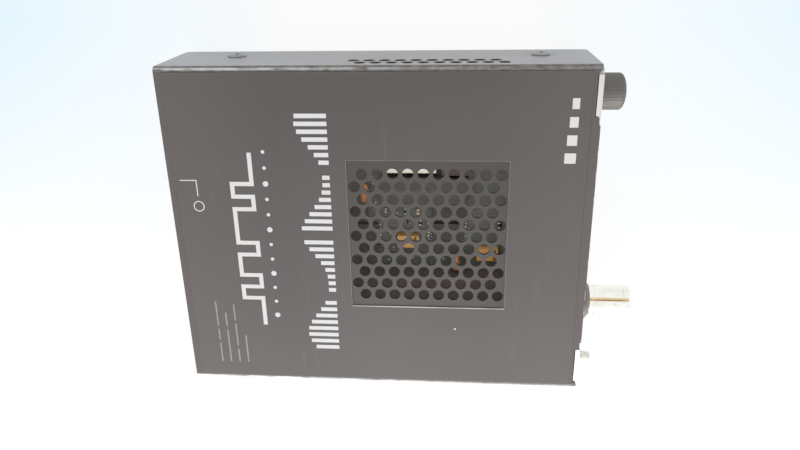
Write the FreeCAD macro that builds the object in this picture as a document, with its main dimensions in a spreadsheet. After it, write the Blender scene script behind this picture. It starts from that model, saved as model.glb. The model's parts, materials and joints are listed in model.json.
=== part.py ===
"""A one-slot desktop media converter: a folded steel case and the slide-in card that it holds.

Millimetres. +Z points up out of the labelled face and -Y out of the front. The origin is the middle
of the whole object's footprint, on the surface that its feet stand on.
"""
import FreeCAD, Part
import math
import os
import re
import Sketcher

V = FreeCAD.Vector
BRACKETS = ("bracket_outer_across", "bracket_inner_across")
SIDE_SCREW_SPOTS = ("front_y + side_screw_front", "rear_y - side_screw_rear")
UP = FreeCAD.Rotation()
ALONG_X = FreeCAD.Rotation(V(0, 1, 0), 90)
ALONG_MINUS_X = FreeCAD.Rotation(V(0, 1, 0), -90)
ALONG_Y = FreeCAD.Rotation(V(1, 0, 0), -90)
ALONG_MINUS_Y = FreeCAD.Rotation(V(1, 0, 0), 90)
DOWN = FreeCAD.Rotation(V(1, 0, 0), 180)

# ---------------------------------------------------------------- sizes
SIZES = {
    # the case
    "case_depth": 125.0, "case_width": 103.0, "case_height": 28.3,
    "cover_sheet": 1.0, "cover_bend": 1.5, "free_corner": 1.8,
    "tray_sheet": 1.0, "tray_bend": 1.2, "skin_gap": 0.15, "flange_height": 17.0,
    "wall_inset": 1.2,
    "foot_height": 2.5, "foot_radius": 4.75, "foot_inset": 12.0, "foot_taper": 0.75,
    "label_film": 0.25, "label_side_inset": 1.6, "label_end_inset": 2.4,
    # the vents
    "vent_pitch": 4.52, "vent_radius": 1.7, "vent_columns": 10, "vent_rows": 11,
    "vent_across": 0.7, "vent_setback": 46.4, "side_vent_drop": 5.35,
    "window_margin": 2.4, "window_end_margin": 0.4,
    # the mouth and the card's panel
    "notch_across": 43.7, "notch_length": 13.0, "notch_depth": 1.3, "notch_slope": 1.2,
    "notch_inner_slope": 0.3, "lid_lip": 0.5, "lip_inset": 2.5,
    "panel_sheet": 1.5, "panel_proud": 0.5, "panel_gap": 0.25, "ear_gap": 0.15, "ear_sink": 0.2,
    # the card's board
    "board_sheet": 1.6, "board_side_gap": 0.4, "board_panel_gap": 0.5,
    "tongue_width": 50.0, "tongue_length": 6.4, "tongue_gap": 0.3, "tongue_bevel": 0.8,
    # the guides
    "guide_grip": 1.8, "guide_base": 2.4, "guide_gap": 0.2, "guide_lip": 2.0,
    "guide_front": 8.0, "guide_rear": 22.0, "peg_radius": 1.5, "peg_inset": 14.0, "peg_end": 0.5,
    # the coaxial jack
    "coax_inset": 25.0, "coax_rise": 7.6, "coax_reach": 16.7, "collar_reach": 4.0,
    "collar_radius": 6.2, "collar_slope": 1.2, "barrel_radius": 4.8, "barrel_wall": 0.75,
    "barrel_bore_depth": 9.3, "barrel_root": 4.0, "stud_setback": 4.7, "stud_radius": 1.0,
    "stud_reach": 1.0, "stud_root": 0.5, "insulator_radius": 2.4, "insulator_setback": 3.2,
    "contact_radius": 1.05, "contact_bore": 0.68, "contact_bore_depth": 4.0,
    "contact_setback": 2.6, "contact_tail": 3.0, "coax_body_gap": 0.3, "coax_neck_root": 1.0,
    "coax_body_width": 14.4, "coax_body_height": 14.6, "coax_body_length": 16.0,
    "panel_hole_gap": 0.15, "coax_pin_radius": 0.5, "coax_pin_spread": 5.08,
    "coax_pin_setback": 11.2, "pin_tail": 1.4,
    # the thumbscrew
    "thumb_inset": 10.0, "knob_radius": 5.35, "knob_reach": 9.25, "knob_gap": 0.3,
    "knob_dome": 1.3, "knob_dome_width": 2.4, "knurl_count": 36, "knurl_radius": 0.22,
    "knurl_rise": 0.05, "knurl_end": 0.8, "shank_seat": 6.0, "shank_radius": 1.5,
    "shank_point": 0.6, "neck_radius": 1.15, "washer_sheet": 0.6, "washer_radius": 3.0,
    "running_gap": 0.05, "washer_play": 0.06, "screw_pitch": 0.5, "screw_turns": 5,
    "undone_gap": 0.2, "washer_gap": 0.3, "lug_gap": 0.4, "lug_half": 4.0, "lug_sheet": 1.5,
    "thumb_hole_gap": 0.25,
    # the status lamp
    "lamp_inset": 7.9, "lamp_drop": 7.0, "lamp_radius": 1.55, "lamp_reach": 5.0,
    "lamp_dome": 1.1, "lamp_flat": 0.9, "lamp_holder_width": 4.2, "lamp_holder_length": 6.0,
    "lamp_holder_gap": 0.2, "lamp_seat": 1.2,
    # the network jack
    "jack_across": 16.0, "jack_width": 15.9, "jack_height": 13.3, "jack_length": 20.5,
    "jack_shield": 0.25, "jack_sink": 0.2, "socket_width": 11.8, "socket_height": 7.9,
    "socket_depth": 13.5, "socket_rise": 2.9, "latch_width": 6.2, "latch_rise": 1.3,
    "latch_depth": 6.75, "jack_wires": 8, "wire_pitch": 1.02, "wire_width": 0.45,
    "wire_sheet": 0.4, "wire_length": 8.5, "wire_drop": 1.1, "light_width": 2.9,
    "light_height": 1.7, "light_length": 3.0, "light_spread": 5.0, "light_drop": 0.35,
    # the power board behind the card
    "spacer_length": 10.5, "spacer_radius": 2.75, "spacer_across": 36.0,
    "power_board_width": 84.0, "power_board_height": 22.0, "power_board_sheet": 1.6,
    "dc_across": 18.0, "dc_body": 10.0, "dc_nose_radius": 4.0, "dc_bore_radius": 2.85,
    "dc_bore_depth": 9.5, "dc_floor": 0.3, "dc_wall_gap": 0.2, "dc_pin_radius": 1.05,
    "dc_pin_setback": 0.8, "dc_pin_point": 0.5, "dc_hole_gap": 0.15, "dc_spring_width": 2.0,
    "dc_spring_sheet": 0.43, "dc_spring_setback": 2.8, "dc_spring_gap": 0.02,
    "card_socket_margin": 4.0, "card_socket_height": 9.0, "card_socket_length": 8.5,
    "slot_side_gap": 0.3, "slot_end_gap": 0.3, "leaf_count": 12, "leaf_pitch": 3.96,
    "leaf_width": 1.6, "leaf_sheet": 0.45, "leaf_room": 0.7, "leaf_length": 6.0,
    "finger_sheet": 0.1, "finger_start": 0.6, "finger_end": 0.4,
    "power_can_radius": 3.15, "power_can_length": 7.0, "power_can_across": -18.0,
    "power_can_rise": 4.5, "fuse_long": 7.4, "fuse_wide": 5.1, "fuse_tall": 1.8,
    "fuse_across": 4.0, "fuse_rise": 2.5,
    # the screws
    "screw_radius": 1.5, "screw_hole_gap": 0.1, "thread_gap": 0.05, "head_radius": 2.75,
    "head_top_radius": 2.1, "head_rim": 0.35, "head_crown": 0.45, "side_screw_length": 5.0,
    "side_screw_drop": 17.9, "side_screw_front": 14.9, "side_screw_rear": 19.3,
    "spacer_screw_length": 5.0, "recess_width": 0.8, "recess_length": 3.2, "recess_depth": 0.5,
    # the brackets between panel and board
    "bracket_outer_across": 30.0, "bracket_inner_across": -8.0, "bracket_width": 8.0,
    "bracket_height": 10.0, "bracket_foot": 8.0, "bracket_sheet": 1.0,
    "bracket_screw_radius": 1.25, "bracket_head_radius": 2.4, "bracket_head_sink": 1.1,
    "bracket_screw_tail": 1.0, "under_head": 1.0,
    # the parts on the card's board
    "converter_wide": 25.4, "converter_long": 50.8, "converter_tall": 10.2,
    "converter_start": 20.5, "converter_guide_gap": 0.8,
    "lead_sheet": 0.3, "lead_width": 0.5, "lead_reach": 1.1, "lead_end_inset": 0.7,
    "tantalum_wide": 4.3, "tantalum_long": 7.3, "tantalum_tall": 2.9,
    "tantalum_cap": 0.15, "tantalum_cap_wide": 2.6, "tantalum_cap_tall": 1.75,
    "dipped_radius": 3.0, "dipped_thick": 3.2, "dipped_rim": 1.0, "dipped_shoulder": 1.8,
    "dipped_leg": 1.6, "dipped_leg_radius": 0.3, "dipped_leg_spread": 3.0,
    "can_radius": 4.0, "can_height": 11.0, "can_groove": 0.35, "can_groove_rise": 1.9,
    "chip_wide": 1.25, "chip_long": 2.0, "chip_tall": 0.6, "choke_radius": 4.5,
    "choke_tube": 1.6,
    # shared by many pieces
    "edge_break": 0.3, "past": 1.0,
}

# The larger parts on the board: their middle in from the board's left edge, their middle behind its
# front edge, and their size across, along and up.
PARTS = {
    "magnetics": (55.5, 48.0, 9.0, 28.0, 6.0),
    "relay": (66.3, 52.2, 9.2, 16.7, 5.0),
    "isolator": (66.0, 37.5, 9.0, 9.5, 6.5),
    "main_chip": (38.5, 40.4, 10.2, 10.2, 2.3),
    "line_chip": (38.5, 68.0, 9.0, 9.0, 2.0),
    "buffer_chip": (47.1, 39.7, 4.0, 11.4, 1.8),
    "clock_chip": (47.1, 69.0, 3.9, 5.0, 1.6),
    "regulator": (75.5, 40.0, 6.5, 6.2, 2.3),
    "clock_can": (75.5, 66.0, 4.7, 11.2, 3.5),
}

# The smaller parts, by their middle in from the board's left edge and behind its front edge.
SPOTS = {
    "tantalum": ((37.3, 53.2), (32.9, 27.1)),
    "dipped": ((54.7, 66.9), (31.1, 37.5)),
    "resistor": ((47.1, 54.0), (42.6, 23.3), (43.2, 49.3), (63.5, 65.0), (70.5, 30.5),
                 (79.0, 56.0)),
    "capacitor": ((47.1, 50.0), (47.1, 58.0), (39.0, 23.3), (35.0, 60.5), (63.5, 69.0),
                  (79.0, 52.0)),
    "can": ((75.5, 80.0),),
    "choke": ((62.5, 79.0),),
}

for part_name, measures in PARTS.items():
    for word, measure in zip(("across", "along", "wide", "long", "tall"), measures):
        SIZES[f"{part_name}_{word}"] = measure
for spot_name, spots in SPOTS.items():
    for number, (across, along) in enumerate(spots):
        SIZES[f"{spot_name}_across_{number}"] = across
        SIZES[f"{spot_name}_along_{number}"] = along

# Places that follow from the sizes.
PLACES = {
    "front_y": "(coax_reach - case_depth) / 2",
    "rear_y": "front_y + case_depth",
    "half_width": "case_width / 2",
    "floor_z": "foot_height",
    "floor_top": "floor_z + tray_sheet",
    "face_z": "floor_z + case_height",
    "roof_z": "face_z - cover_sheet",
    "middle_z": "floor_z + case_height / 2",
    "tray_half": "half_width - cover_sheet - skin_gap",
    "flange_x": "tray_half - tray_sheet",
    "wall_back": "rear_y - wall_inset",
    "wall_front": "wall_back - tray_sheet",
    "vent_step": "vent_pitch * 0.8660254",
    "vent_x": "vent_across + vent_step * (vent_rows - 1) / 2",
    "vent_y": "front_y + vent_setback - vent_pitch * (vent_columns - 1) / 2",
    "panel_front": "front_y - panel_proud",
    "panel_back": "panel_front + panel_sheet",
    "panel_half": "half_width - cover_sheet - panel_gap",
    "board_top": "middle_z - coax_rise",
    "board_low": "board_top - board_sheet",
    "guide_inner": "board_half - guide_grip",
    "board_half": "flange_x - guide_base - board_side_gap",
    "board_left": "-board_half",
    "board_front": "panel_back + board_panel_gap",
    "power_back": "wall_front - spacer_length",
    "power_front": "power_back - power_board_sheet",
    "socket_front": "power_front - card_socket_length",
    "tongue_end": "board_rear + tongue_length",
    "board_rear": "socket_front - tongue_gap",
    "guide_start": "front_y + guide_front",
    "guide_end": "rear_y - guide_rear",
    "coax_x": "-(half_width - coax_inset)",
    "collar_front": "front_y - collar_reach",
    "barrel_end": "front_y - coax_reach",
    "barrel_back": "collar_front + barrel_root",
    "coax_body_front": "panel_back + coax_body_gap",
    "coax_body_back": "coax_body_front + coax_body_length",
    "coax_pin_y": "coax_body_front + coax_pin_setback",
    "bracket_hole_z": "board_top + bracket_sheet + bracket_height / 2",
    "bracket_hole_y": "panel_back + bracket_sheet + bracket_foot / 2",
    "thumb_x": "half_width - thumb_inset",
    "knob_back": "panel_front - knob_gap",
    "knob_front": "front_y - knob_reach",
    "screw_travel": "screw_pitch * screw_turns",
    "washer_front": "panel_back + screw_travel + washer_gap",
    "washer_back": "washer_front + washer_sheet",
    "lug_front": "washer_back + lug_gap",
    "lug_back": "lug_front + lug_sheet",
    "shank_end": "lug_front + screw_travel - undone_gap",
    "lamp_x": "-(half_width - lamp_inset)",
    "lamp_z": "face_z - lamp_drop",
    "jack_front": "panel_front + jack_sink",
    "jack_back": "jack_front + jack_length",
    "socket_z": "board_top + socket_rise",
    "dc_body_back": "wall_front - dc_wall_gap",
    "card_socket_half": "tongue_width / 2 + card_socket_margin",
    "card_socket_z": "board_top - board_sheet / 2",
    "slot_back": "tongue_end + slot_end_gap",
    "screw_z": "face_z - side_screw_drop",
    "converter_x": "-(guide_inner - converter_guide_gap)",
}


def full(text):
    """A formula in this file's plain names, as one that reads the sheet's cells."""
    def swap(match):
        name = match.group()
        if name in PLACES:
            return f"({full(PLACES[name])})"
        return f"Sizes.{name}" if name in SIZES else name
    return re.sub(r"[a-z][a-z_0-9]*", swap, str(text))


# ---------------------------------------------------------------- ways of making a piece
doc = FreeCAD.newDocument("MediaConverter")
sheet = doc.addObject("Spreadsheet::Sheet", "Sizes")
for row, (size_name, size) in enumerate(SIZES.items(), 1):
    sheet.set(f"A{row}", size_name)
    sheet.set(f"B{row}", str(size))
    sheet.setAlias(f"B{row}", size_name)
doc.recompute()
NODES = []


def bind(thing, prop, formula):
    thing.setExpression(prop, full(formula))


def put(thing, at, turn=UP):
    """Places an object at a point given as three formulas."""
    thing.Placement = FreeCAD.Placement(V(), turn)
    for axis, formula in zip("xyz", at):
        bind(thing, f"Placement.Base.{axis}", formula)
    return thing


def block(name, low, high):
    """A box between two corners, each given as three formulas."""
    thing = doc.addObject("Part::Box", name)
    for prop, start, end in zip(("Length", "Width", "Height"), low, high):
        bind(thing, prop, f"({end}) - ({start})")
    return put(thing, low)


def rod(name, at, turn, radius, length):
    """A cylinder that starts at a point and runs the way that turn points +Z."""
    thing = doc.addObject("Part::Cylinder", name)
    bind(thing, "Radius", radius)
    bind(thing, "Height", length)
    return put(thing, at, turn)


def cone(name, at, turn, first, last, length):
    thing = doc.addObject("Part::Cone", name)
    bind(thing, "Radius1", first)
    bind(thing, "Radius2", last)
    bind(thing, "Height", length)
    return put(thing, at, turn)


def joined(name, things):
    thing = doc.addObject("Part::MultiFuse", name)
    thing.Shapes = things
    return thing


def less(name, base, tools):
    """base with the tools cut out of it."""
    thing = doc.addObject("Part::Cut", name)
    thing.Base = base
    thing.Tool = tools[0] if len(tools) == 1 else joined(name + "_tools", tools)
    return thing


def group(name, things):
    """Several separate solids as one object."""
    thing = doc.addObject("Part::Compound", name)
    thing.Links = things
    return thing


def node(name, thing):
    """Marks a finished sub-part, which is written to a file of its own."""
    thing.Label = name
    NODES.append(thing)
    return thing


def new_body(name):
    return doc.addObject("PartDesign::Body", name)


def sketch_on(body, name, role, height="0"):
    """An empty sketch on one of the body's own origin planes, moved along its normal."""
    sketch = body.newObject("Sketcher::SketchObject", name)
    sketch.AttachmentSupport = (next(f for f in body.Origin.OriginFeatures if f.Role == role), [""])
    sketch.MapMode = "FlatFace"
    bind(sketch, "AttachmentOffset.Base.z", height)
    return sketch


def fix_point(sketch, element, point, across, up):
    """Holds a point of a sketch at a distance from the sketch's origin."""
    for kind, formula in (("DistanceX", across), ("DistanceY", up)):
        index = sketch.addConstraint(Sketcher.Constraint(kind, -1, 1, element, point, 1.0))
        bind(sketch, f"Constraints[{index}]", formula)


def outline(sketch, corners):
    """A closed outline through corners, each a pair of formulas."""
    first, count = sketch.GeometryCount, len(corners)
    rough = [V(math.cos(2 * math.pi * i / count), math.sin(2 * math.pi * i / count), 0)
             for i in range(count)]
    for i in range(count):
        sketch.addGeometry(Part.LineSegment(rough[i], rough[(i + 1) % count]))
    for i in range(count):
        following = first + (i + 1) % count
        sketch.addConstraint(Sketcher.Constraint("Coincident", first + i, 2, following, 1))
    for i, (across, up) in enumerate(corners):
        fix_point(sketch, first + i, 1, across, up)


def ring(sketch, across, up, radius):
    """A circle, with its centre and its radius given as formulas."""
    circle = sketch.addGeometry(Part.Circle(V(), V(0, 0, 1), 1.0))
    fix_point(sketch, circle, 3, across, up)
    index = sketch.addConstraint(Sketcher.Constraint("Radius", circle, 1.0))
    bind(sketch, f"Constraints[{index}]", radius)


def rectangle(sketch, low, high):
    outline(sketch, [low, (high[0], low[1]), high, (low[0], high[1])])


def pad(body, sketch, length, backwards=False):
    feature = body.newObject("PartDesign::Pad", sketch.Name + "_pad")
    feature.Profile = (sketch, [""])
    bind(feature, "Length", length)
    feature.Reversed = backwards
    doc.recompute()
    return feature


def pocket(body, sketch, length=None, backwards=False, both_ways=False):
    """Cuts a sketch out of the body, right through it where no length is given."""
    before = body.Shape.Volume
    feature = body.newObject("PartDesign::Pocket", sketch.Name + "_pocket")
    feature.Profile = (sketch, [""])
    feature.Reversed = backwards
    feature.Midplane = both_ways
    if length is None:
        feature.Type = "ThroughAll"
    else:
        bind(feature, "Length", length)
    doc.recompute()
    if feature.Shape.Volume >= before:
        raise ValueError(f"{feature.Name} cuts nothing")
    return feature


def edges_along(shape, axis, wanted):
    """The names of the straight edges that run along an axis and whose middle passes a test."""
    found = []
    for i, edge in enumerate(shape.Edges, 1):
        if len(edge.Vertexes) == 2:
            run = edge.Vertexes[1].Point - edge.Vertexes[0].Point
            if near(abs(run.dot(axis)), run.Length) and wanted(edge.CenterOfMass):
                found.append(f"Edge{i}")
    return found


def rounded(body, edges, radius):
    last = body.Tip
    feature = body.newObject("PartDesign::Fillet", body.Name + "_fillet")
    feature.Base = (last, edges)
    bind(feature, "Radius", radius)
    doc.recompute()
    return feature


def near(a, b):
    return abs(a - b) < 0.01


def turned(name, across, height, profile):
    """A piece turned about a line along Y. Its profile's corners are (radius, y) formulas."""
    body = new_body(name)
    sketch = sketch_on(body, name + "_profile", "XY_Plane")
    outline(sketch, profile)
    feature = body.newObject("PartDesign::Revolution", name + "_turn")
    feature.Profile = (sketch, [""])
    feature.ReferenceAxis = (sketch, ["V_Axis"])
    feature.Angle = 360
    bind(body, "Placement.Base.x", across)
    bind(body, "Placement.Base.z", height)
    doc.recompute()
    return body


# ---------------------------------------------------------------- the case
def make_cover():
    """The lid: one sheet folded down at both sides, pierced for air, open at front and rear.

    Between its two notches it has a lip that reaches the face of the card's panel.
    """
    body = new_body("Cover")
    sketch = sketch_on(body, "CoverFold", "XZ_Plane", "-(rear_y)")
    outline(sketch, [
        ("-half_width", "floor_z"), ("-half_width", "face_z"),
        ("half_width", "face_z"), ("half_width", "floor_z"),
        ("half_width - cover_sheet", "floor_z"), ("half_width - cover_sheet", "roof_z"),
        ("-(half_width - cover_sheet)", "roof_z"), ("-(half_width - cover_sheet)", "floor_z")])
    pad(body, sketch, "case_depth")
    box, skin = body.Shape.BoundBox, SIZES["cover_sheet"]
    along_y, along_x = V(0, 1, 0), V(1, 0, 0)
    rounded(body, edges_along(body.Shape, along_y, lambda p: near(p.z, box.ZMax)), "cover_bend")
    rounded(body, edges_along(body.Shape, along_y, lambda p: near(p.z, box.ZMax - skin)
                              and near(abs(p.x), box.XMax - skin)), "cover_bend - cover_sheet")
    for end in (box.YMin, box.YMax):
        corners = edges_along(body.Shape, along_x,
                              lambda p, end=end: near(p.z, box.ZMin) and near(p.y, end))
        rounded(body, corners, "free_corner")
    for odd in (0, 1):
        hole = sketch_on(body, f"TopVent{odd}", "XY_Plane", "face_z")
        ring(hole, f"vent_x - {odd} * vent_step", f"vent_y + {odd} * vent_pitch / 2", "vent_radius")
        first = pocket(body, hole, "cover_sheet * 2")
        pierced(body, first, hole, "V_Axis", "H_Axis", (SIZES["vent_rows"] + 1 - odd) // 2)
        slot = sketch_on(body, f"SideVent{odd}", "YZ_Plane")
        ring(slot, f"vent_y + {odd} * vent_pitch / 2",
             f"face_z - side_vent_drop - {odd} * vent_step", "vent_radius")
        first = pocket(body, slot, both_ways=True)
        pierced(body, first, slot, "H_Axis", None, 1)
    holes = sketch_on(body, "SideScrewHoles", "YZ_Plane")
    for y in SIDE_SCREW_SPOTS:
        ring(holes, y, "screw_z", "screw_radius + screw_hole_gap")
    pocket(body, holes, both_ways=True)
    for side in (-1, 1):
        notch = sketch_on(body, "Notch" + ("Left" if side < 0 else "Right"), "XY_Plane", "face_z")
        inner_end, outer_end = "notch_across - notch_length / 2", "notch_across + notch_length / 2"
        outline(notch, [
            (f"{side} * ({inner_end} - notch_inner_slope)", "front_y - past"),
            (f"{side} * ({inner_end} - notch_inner_slope)", "front_y"),
            (f"{side} * ({inner_end})", "front_y + notch_depth"),
            (f"{side} * ({outer_end} - notch_slope)", "front_y + notch_depth"),
            (f"{side} * ({outer_end})", "front_y"),
            (f"{side} * ({outer_end})", "front_y - past")])
        pocket(body, notch, "cover_sheet * 2")
    lip = sketch_on(body, "FrontLip", "XY_Plane", "roof_z")
    lip_half = "(notch_across - notch_length / 2 - lip_inset)"
    rectangle(lip, (f"-{lip_half}", "front_y - lid_lip"), (lip_half, "front_y"))
    pad(body, lip, "cover_sheet")
    node("cover", body)


def pierced(body, first, sketch, along, across, rows):
    """Repeats a first vent hole along its row, and the row at every second row's place."""
    pattern = body.newObject("PartDesign::MultiTransform", first.Name + "_grid")
    pattern.Originals = [first]
    along_row = body.newObject("PartDesign::LinearPattern", first.Name + "_row")
    along_row.Direction = (sketch, [along])
    bind(along_row, "Length", "(vent_columns - 1) * vent_pitch")
    along_row.Occurrences = SIZES["vent_columns"]
    steps = [along_row]
    if rows > 1:
        next_rows = body.newObject("PartDesign::LinearPattern", first.Name + "_rows")
        next_rows.Direction = (sketch, [across])
        next_rows.Reversed = True
        bind(next_rows, "Length", f"({rows} - 1) * 2 * vent_step")
        next_rows.Occurrences = rows
        steps.append(next_rows)
    pattern.Transformations = steps
    body.Tip = pattern
    doc.recompute()


def make_label():
    """The printed film on the lid, with a window round the vents."""
    reach_x = "half_width - label_side_inset"
    film = block("Film", (f"-({reach_x})", "front_y + label_end_inset", "face_z"),
                 (reach_x, "rear_y - label_end_inset", "face_z + label_film"))
    grid_x, grid_y = "vent_step * (vent_rows - 1) / 2", "vent_pitch * (vent_columns - 1) / 2"
    margin, end_margin = "(vent_radius + window_margin)", "(vent_radius + window_end_margin)"
    window = block(
        "Window",
        (f"vent_across - {grid_x} - {margin}",
         f"front_y + vent_setback - {grid_y} - {end_margin}", "face_z - past"),
        (f"vent_across + {grid_x} + {margin}",
         f"front_y + vent_setback + {grid_y} + vent_pitch / 2 + {end_margin}", "face_z + past"))
    node("face_label", less("FaceLabel", film, [window]))


def make_tray():
    """The base: floor, side flanges and rear wall in one folded sheet, with the screw's lug."""
    body = new_body("Tray")
    fold = sketch_on(body, "TrayFold", "XZ_Plane", "-(wall_back)")
    outline(fold, [
        ("-tray_half", "floor_z"), ("tray_half", "floor_z"),
        ("tray_half", "floor_z + flange_height"), ("flange_x", "floor_z + flange_height"),
        ("flange_x", "floor_top"), ("-flange_x", "floor_top"),
        ("-flange_x", "floor_z + flange_height"), ("-tray_half", "floor_z + flange_height")])
    pad(body, fold, "wall_back - front_y")
    box = body.Shape.BoundBox
    rounded(body, edges_along(body.Shape, V(0, 1, 0), lambda p: near(p.z, box.ZMin)), "tray_bend")
    wall = sketch_on(body, "RearWall", "XZ_Plane", "-(wall_back)")
    outline(wall, [
        ("-(tray_half - tray_bend)", "floor_z"), ("tray_half - tray_bend", "floor_z"),
        ("tray_half", "floor_z + tray_bend"), ("tray_half", "roof_z - skin_gap"),
        ("-tray_half", "roof_z - skin_gap"), ("-tray_half", "floor_z + tray_bend")])
    pad(body, wall, "tray_sheet")
    mouth = sketch_on(body, "Mouth", "YZ_Plane")
    rectangle(mouth, ("front_y - past", "floor_top"),
              ("panel_back + panel_gap", "floor_z + flange_height + past"))
    pocket(body, mouth, both_ways=True)
    lug = sketch_on(body, "ScrewLug", "XZ_Plane", "-(lug_back)")
    rectangle(lug, ("thumb_x - lug_half", "middle_z - lug_half"),
              ("flange_x + tray_sheet / 2", "floor_z + flange_height"))
    pad(body, lug, "lug_sheet")
    thread = sketch_on(body, "LugThread", "XZ_Plane", "-(lug_back + past)")
    ring(thread, "thumb_x", "middle_z", "shank_radius + running_gap")
    pocket(body, thread, "lug_sheet + 2 * past", backwards=True)
    rear_holes = sketch_on(body, "RearHoles", "XZ_Plane", "-(wall_back + past)")
    ring(rear_holes, "dc_across", "middle_z", "dc_nose_radius + dc_hole_gap")
    for side in (-1, 1):
        ring(rear_holes, f"{side} * spacer_across", "middle_z", "screw_radius + screw_hole_gap")
    pocket(body, rear_holes, "tray_sheet + 2 * past", backwards=True)
    threads = sketch_on(body, "SideThreads", "YZ_Plane")
    for y in SIDE_SCREW_SPOTS:
        ring(threads, y, "screw_z", "screw_radius + thread_gap")
    pocket(body, threads, both_ways=True)
    pegs = sketch_on(body, "PegHoles", "XY_Plane", "floor_z - past")
    for side in (-1, 1):
        for y in ("guide_start + peg_inset", "guide_end - peg_inset"):
            ring(pegs, f"{side} * (guide_inner + flange_x) / 2", y, "peg_radius + skin_gap")
    pocket(body, pegs, "tray_sheet + 2 * past", backwards=True)
    node("base_tray", body)


def make_feet():
    """Four round stick-on feet."""
    feet = []
    for i, (side, y) in enumerate([(s, y) for s in (-1, 1) for y in
                                   ("front_y + foot_inset", "rear_y - foot_inset")]):
        at_x = f"{side} * (half_width - foot_inset)"
        pad_part = rod(f"FootPad{i}", (at_x, y, "foot_taper"), UP, "foot_radius",
                       "foot_height - foot_taper")
        tip = cone(f"FootTip{i}", (at_x, y, "0"), UP, "foot_radius - foot_taper", "foot_radius",
                   "foot_taper")
        feet.append(joined(f"Foot{i}", [pad_part, tip]))
    node("rubber_feet", group("RubberFeet", feet))


def make_side_screws():
    """Four screws through the lid's sides into the tray's flanges."""
    screws = []
    for side, outward, inward in ((-1, ALONG_MINUS_X, ALONG_X), (1, ALONG_X, ALONG_MINUS_X)):
        for i, y in enumerate(SIDE_SCREW_SPOTS):
            screws.append(screw_piece(f"SideScrew{i}{'L' if side < 0 else 'R'}",
                                      (f"{side} * half_width", y, "screw_z"), outward, inward,
                                      "side_screw_length", "Height", "Width"))
    node("side_screws", group("SideScrews", screws))


def screw_piece(name, at, outward, inward, length, first_slot, second_slot):
    """A pan-head screw: head outward of the point at, tail inward, and a cross in the head."""
    direction = outward.multVec(V(0, 0, 1))
    steps = [round(step) for step in direction]
    rim = rod(name + "_rim", at, outward, "head_radius", "head_rim")
    crown_at = [f"({formula}) + {step} * head_rim" for formula, step in zip(at, steps)]
    crown = cone(name + "_crown", crown_at, outward, "head_radius", "head_top_radius",
                 "head_crown")
    tail = rod(name + "_tail", at, inward, "screw_radius", length)
    sides = ("Length", "Width", "Height")
    deep = sides[[abs(step) for step in steps].index(1)]
    slots = []
    for slot in (first_slot, second_slot):
        measures = {side: "recess_width" for side in sides}
        measures[slot] = "recess_length"
        measures[deep] = "recess_depth + past"
        low, high = [], []
        for side, formula, step in zip(sides, at, steps):
            if side == deep:
                floor = f"({formula}) + {step} * (head_rim + head_crown - recess_depth)"
                low.append(floor if step > 0 else f"{floor} - ({measures[side]})")
            else:
                low.append(f"({formula}) - ({measures[side]}) / 2")
            high.append(f"{low[-1]} + ({measures[side]})")
        slots.append(block(f"{name}_slot{slot}", low, high))
    return less(name, joined(name + "_blank", [rim, crown, tail]), slots)


def make_guides():
    """Two moulded rails that hold the board's edges, pegged into the tray."""
    for side, name in ((-1, "left"), (1, "right")):
        body = new_body(f"Guide_{name}")
        section = sketch_on(body, f"GuideSection_{name}", "XZ_Plane", "-(guide_end)")
        slot_back = "board_half + board_side_gap"
        outline(section, [(f"{side} * ({x})", z) for x, z in (
            ("guide_inner", "floor_top"), ("flange_x", "floor_top"),
            ("flange_x", "board_top + guide_gap + guide_lip"),
            ("guide_inner", "board_top + guide_gap + guide_lip"),
            ("guide_inner", "board_top + guide_gap"), (slot_back, "board_top + guide_gap"),
            (slot_back, "board_low - guide_gap"), ("guide_inner", "board_low - guide_gap"))])
        pad(body, section, "guide_end - guide_start")
        pegs = sketch_on(body, f"GuidePegs_{name}", "XY_Plane", "floor_z")
        for y in ("guide_start + peg_inset", "guide_end - peg_inset"):
            ring(pegs, f"{side} * (guide_inner + flange_x) / 2", y, "peg_radius")
        pad(body, pegs, "tray_sheet + peg_end")
        node(f"card_guide_{name}", body)


# ---------------------------------------------------------------- the power board at the rear
def make_power_board():
    """The board behind the card: its blank, the card's socket, the power jack and small parts."""
    blank = block("PowerBlank",
                  ("-power_board_width / 2", "power_front", "middle_z - power_board_height / 2"),
                  ("power_board_width / 2", "power_back", "middle_z + power_board_height / 2"))
    holes = [rod(f"PowerHole{k}", (f"{side} * spacer_across", "power_front - past", "middle_z"),
                 ALONG_Y, "screw_radius + screw_hole_gap", "power_board_sheet + 2 * past")
             for k, side in enumerate((-1, 1))]
    node("power_board", less("PowerBoard", blank, holes))
    spacers, rear_screws, board_screws = [], [], []
    for k, side in enumerate((-1, 1)):
        at_x = f"{side} * spacer_across"
        hexagon = doc.addObject("Part::Prism", f"SpacerHex{k}")
        hexagon.Polygon = 6
        bind(hexagon, "Circumradius", "spacer_radius")
        bind(hexagon, "Height", "spacer_length")
        put(hexagon, (at_x, "power_back", "middle_z"), ALONG_Y)
        bore = rod(f"SpacerBore{k}", (at_x, "power_back - past", "middle_z"), ALONG_Y,
                   "screw_radius + thread_gap", "spacer_length + 2 * past")
        spacers.append(less(f"Spacer{k}", hexagon, [bore]))
        rear_screws.append(screw_piece(f"RearScrew{k}", (at_x, "wall_back", "middle_z"), ALONG_Y,
                                       ALONG_MINUS_Y, "spacer_screw_length", "Length", "Height"))
        board_screws.append(screw_piece(f"BoardScrew{k}", (at_x, "power_front", "middle_z"),
                                        ALONG_MINUS_Y, ALONG_Y, "spacer_screw_length", "Length",
                                        "Height"))
    node("board_spacers", group("BoardSpacers", spacers))
    node("rear_screws", group("RearScrews", rear_screws))
    node("board_screws", group("BoardScrews", board_screws))


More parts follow.
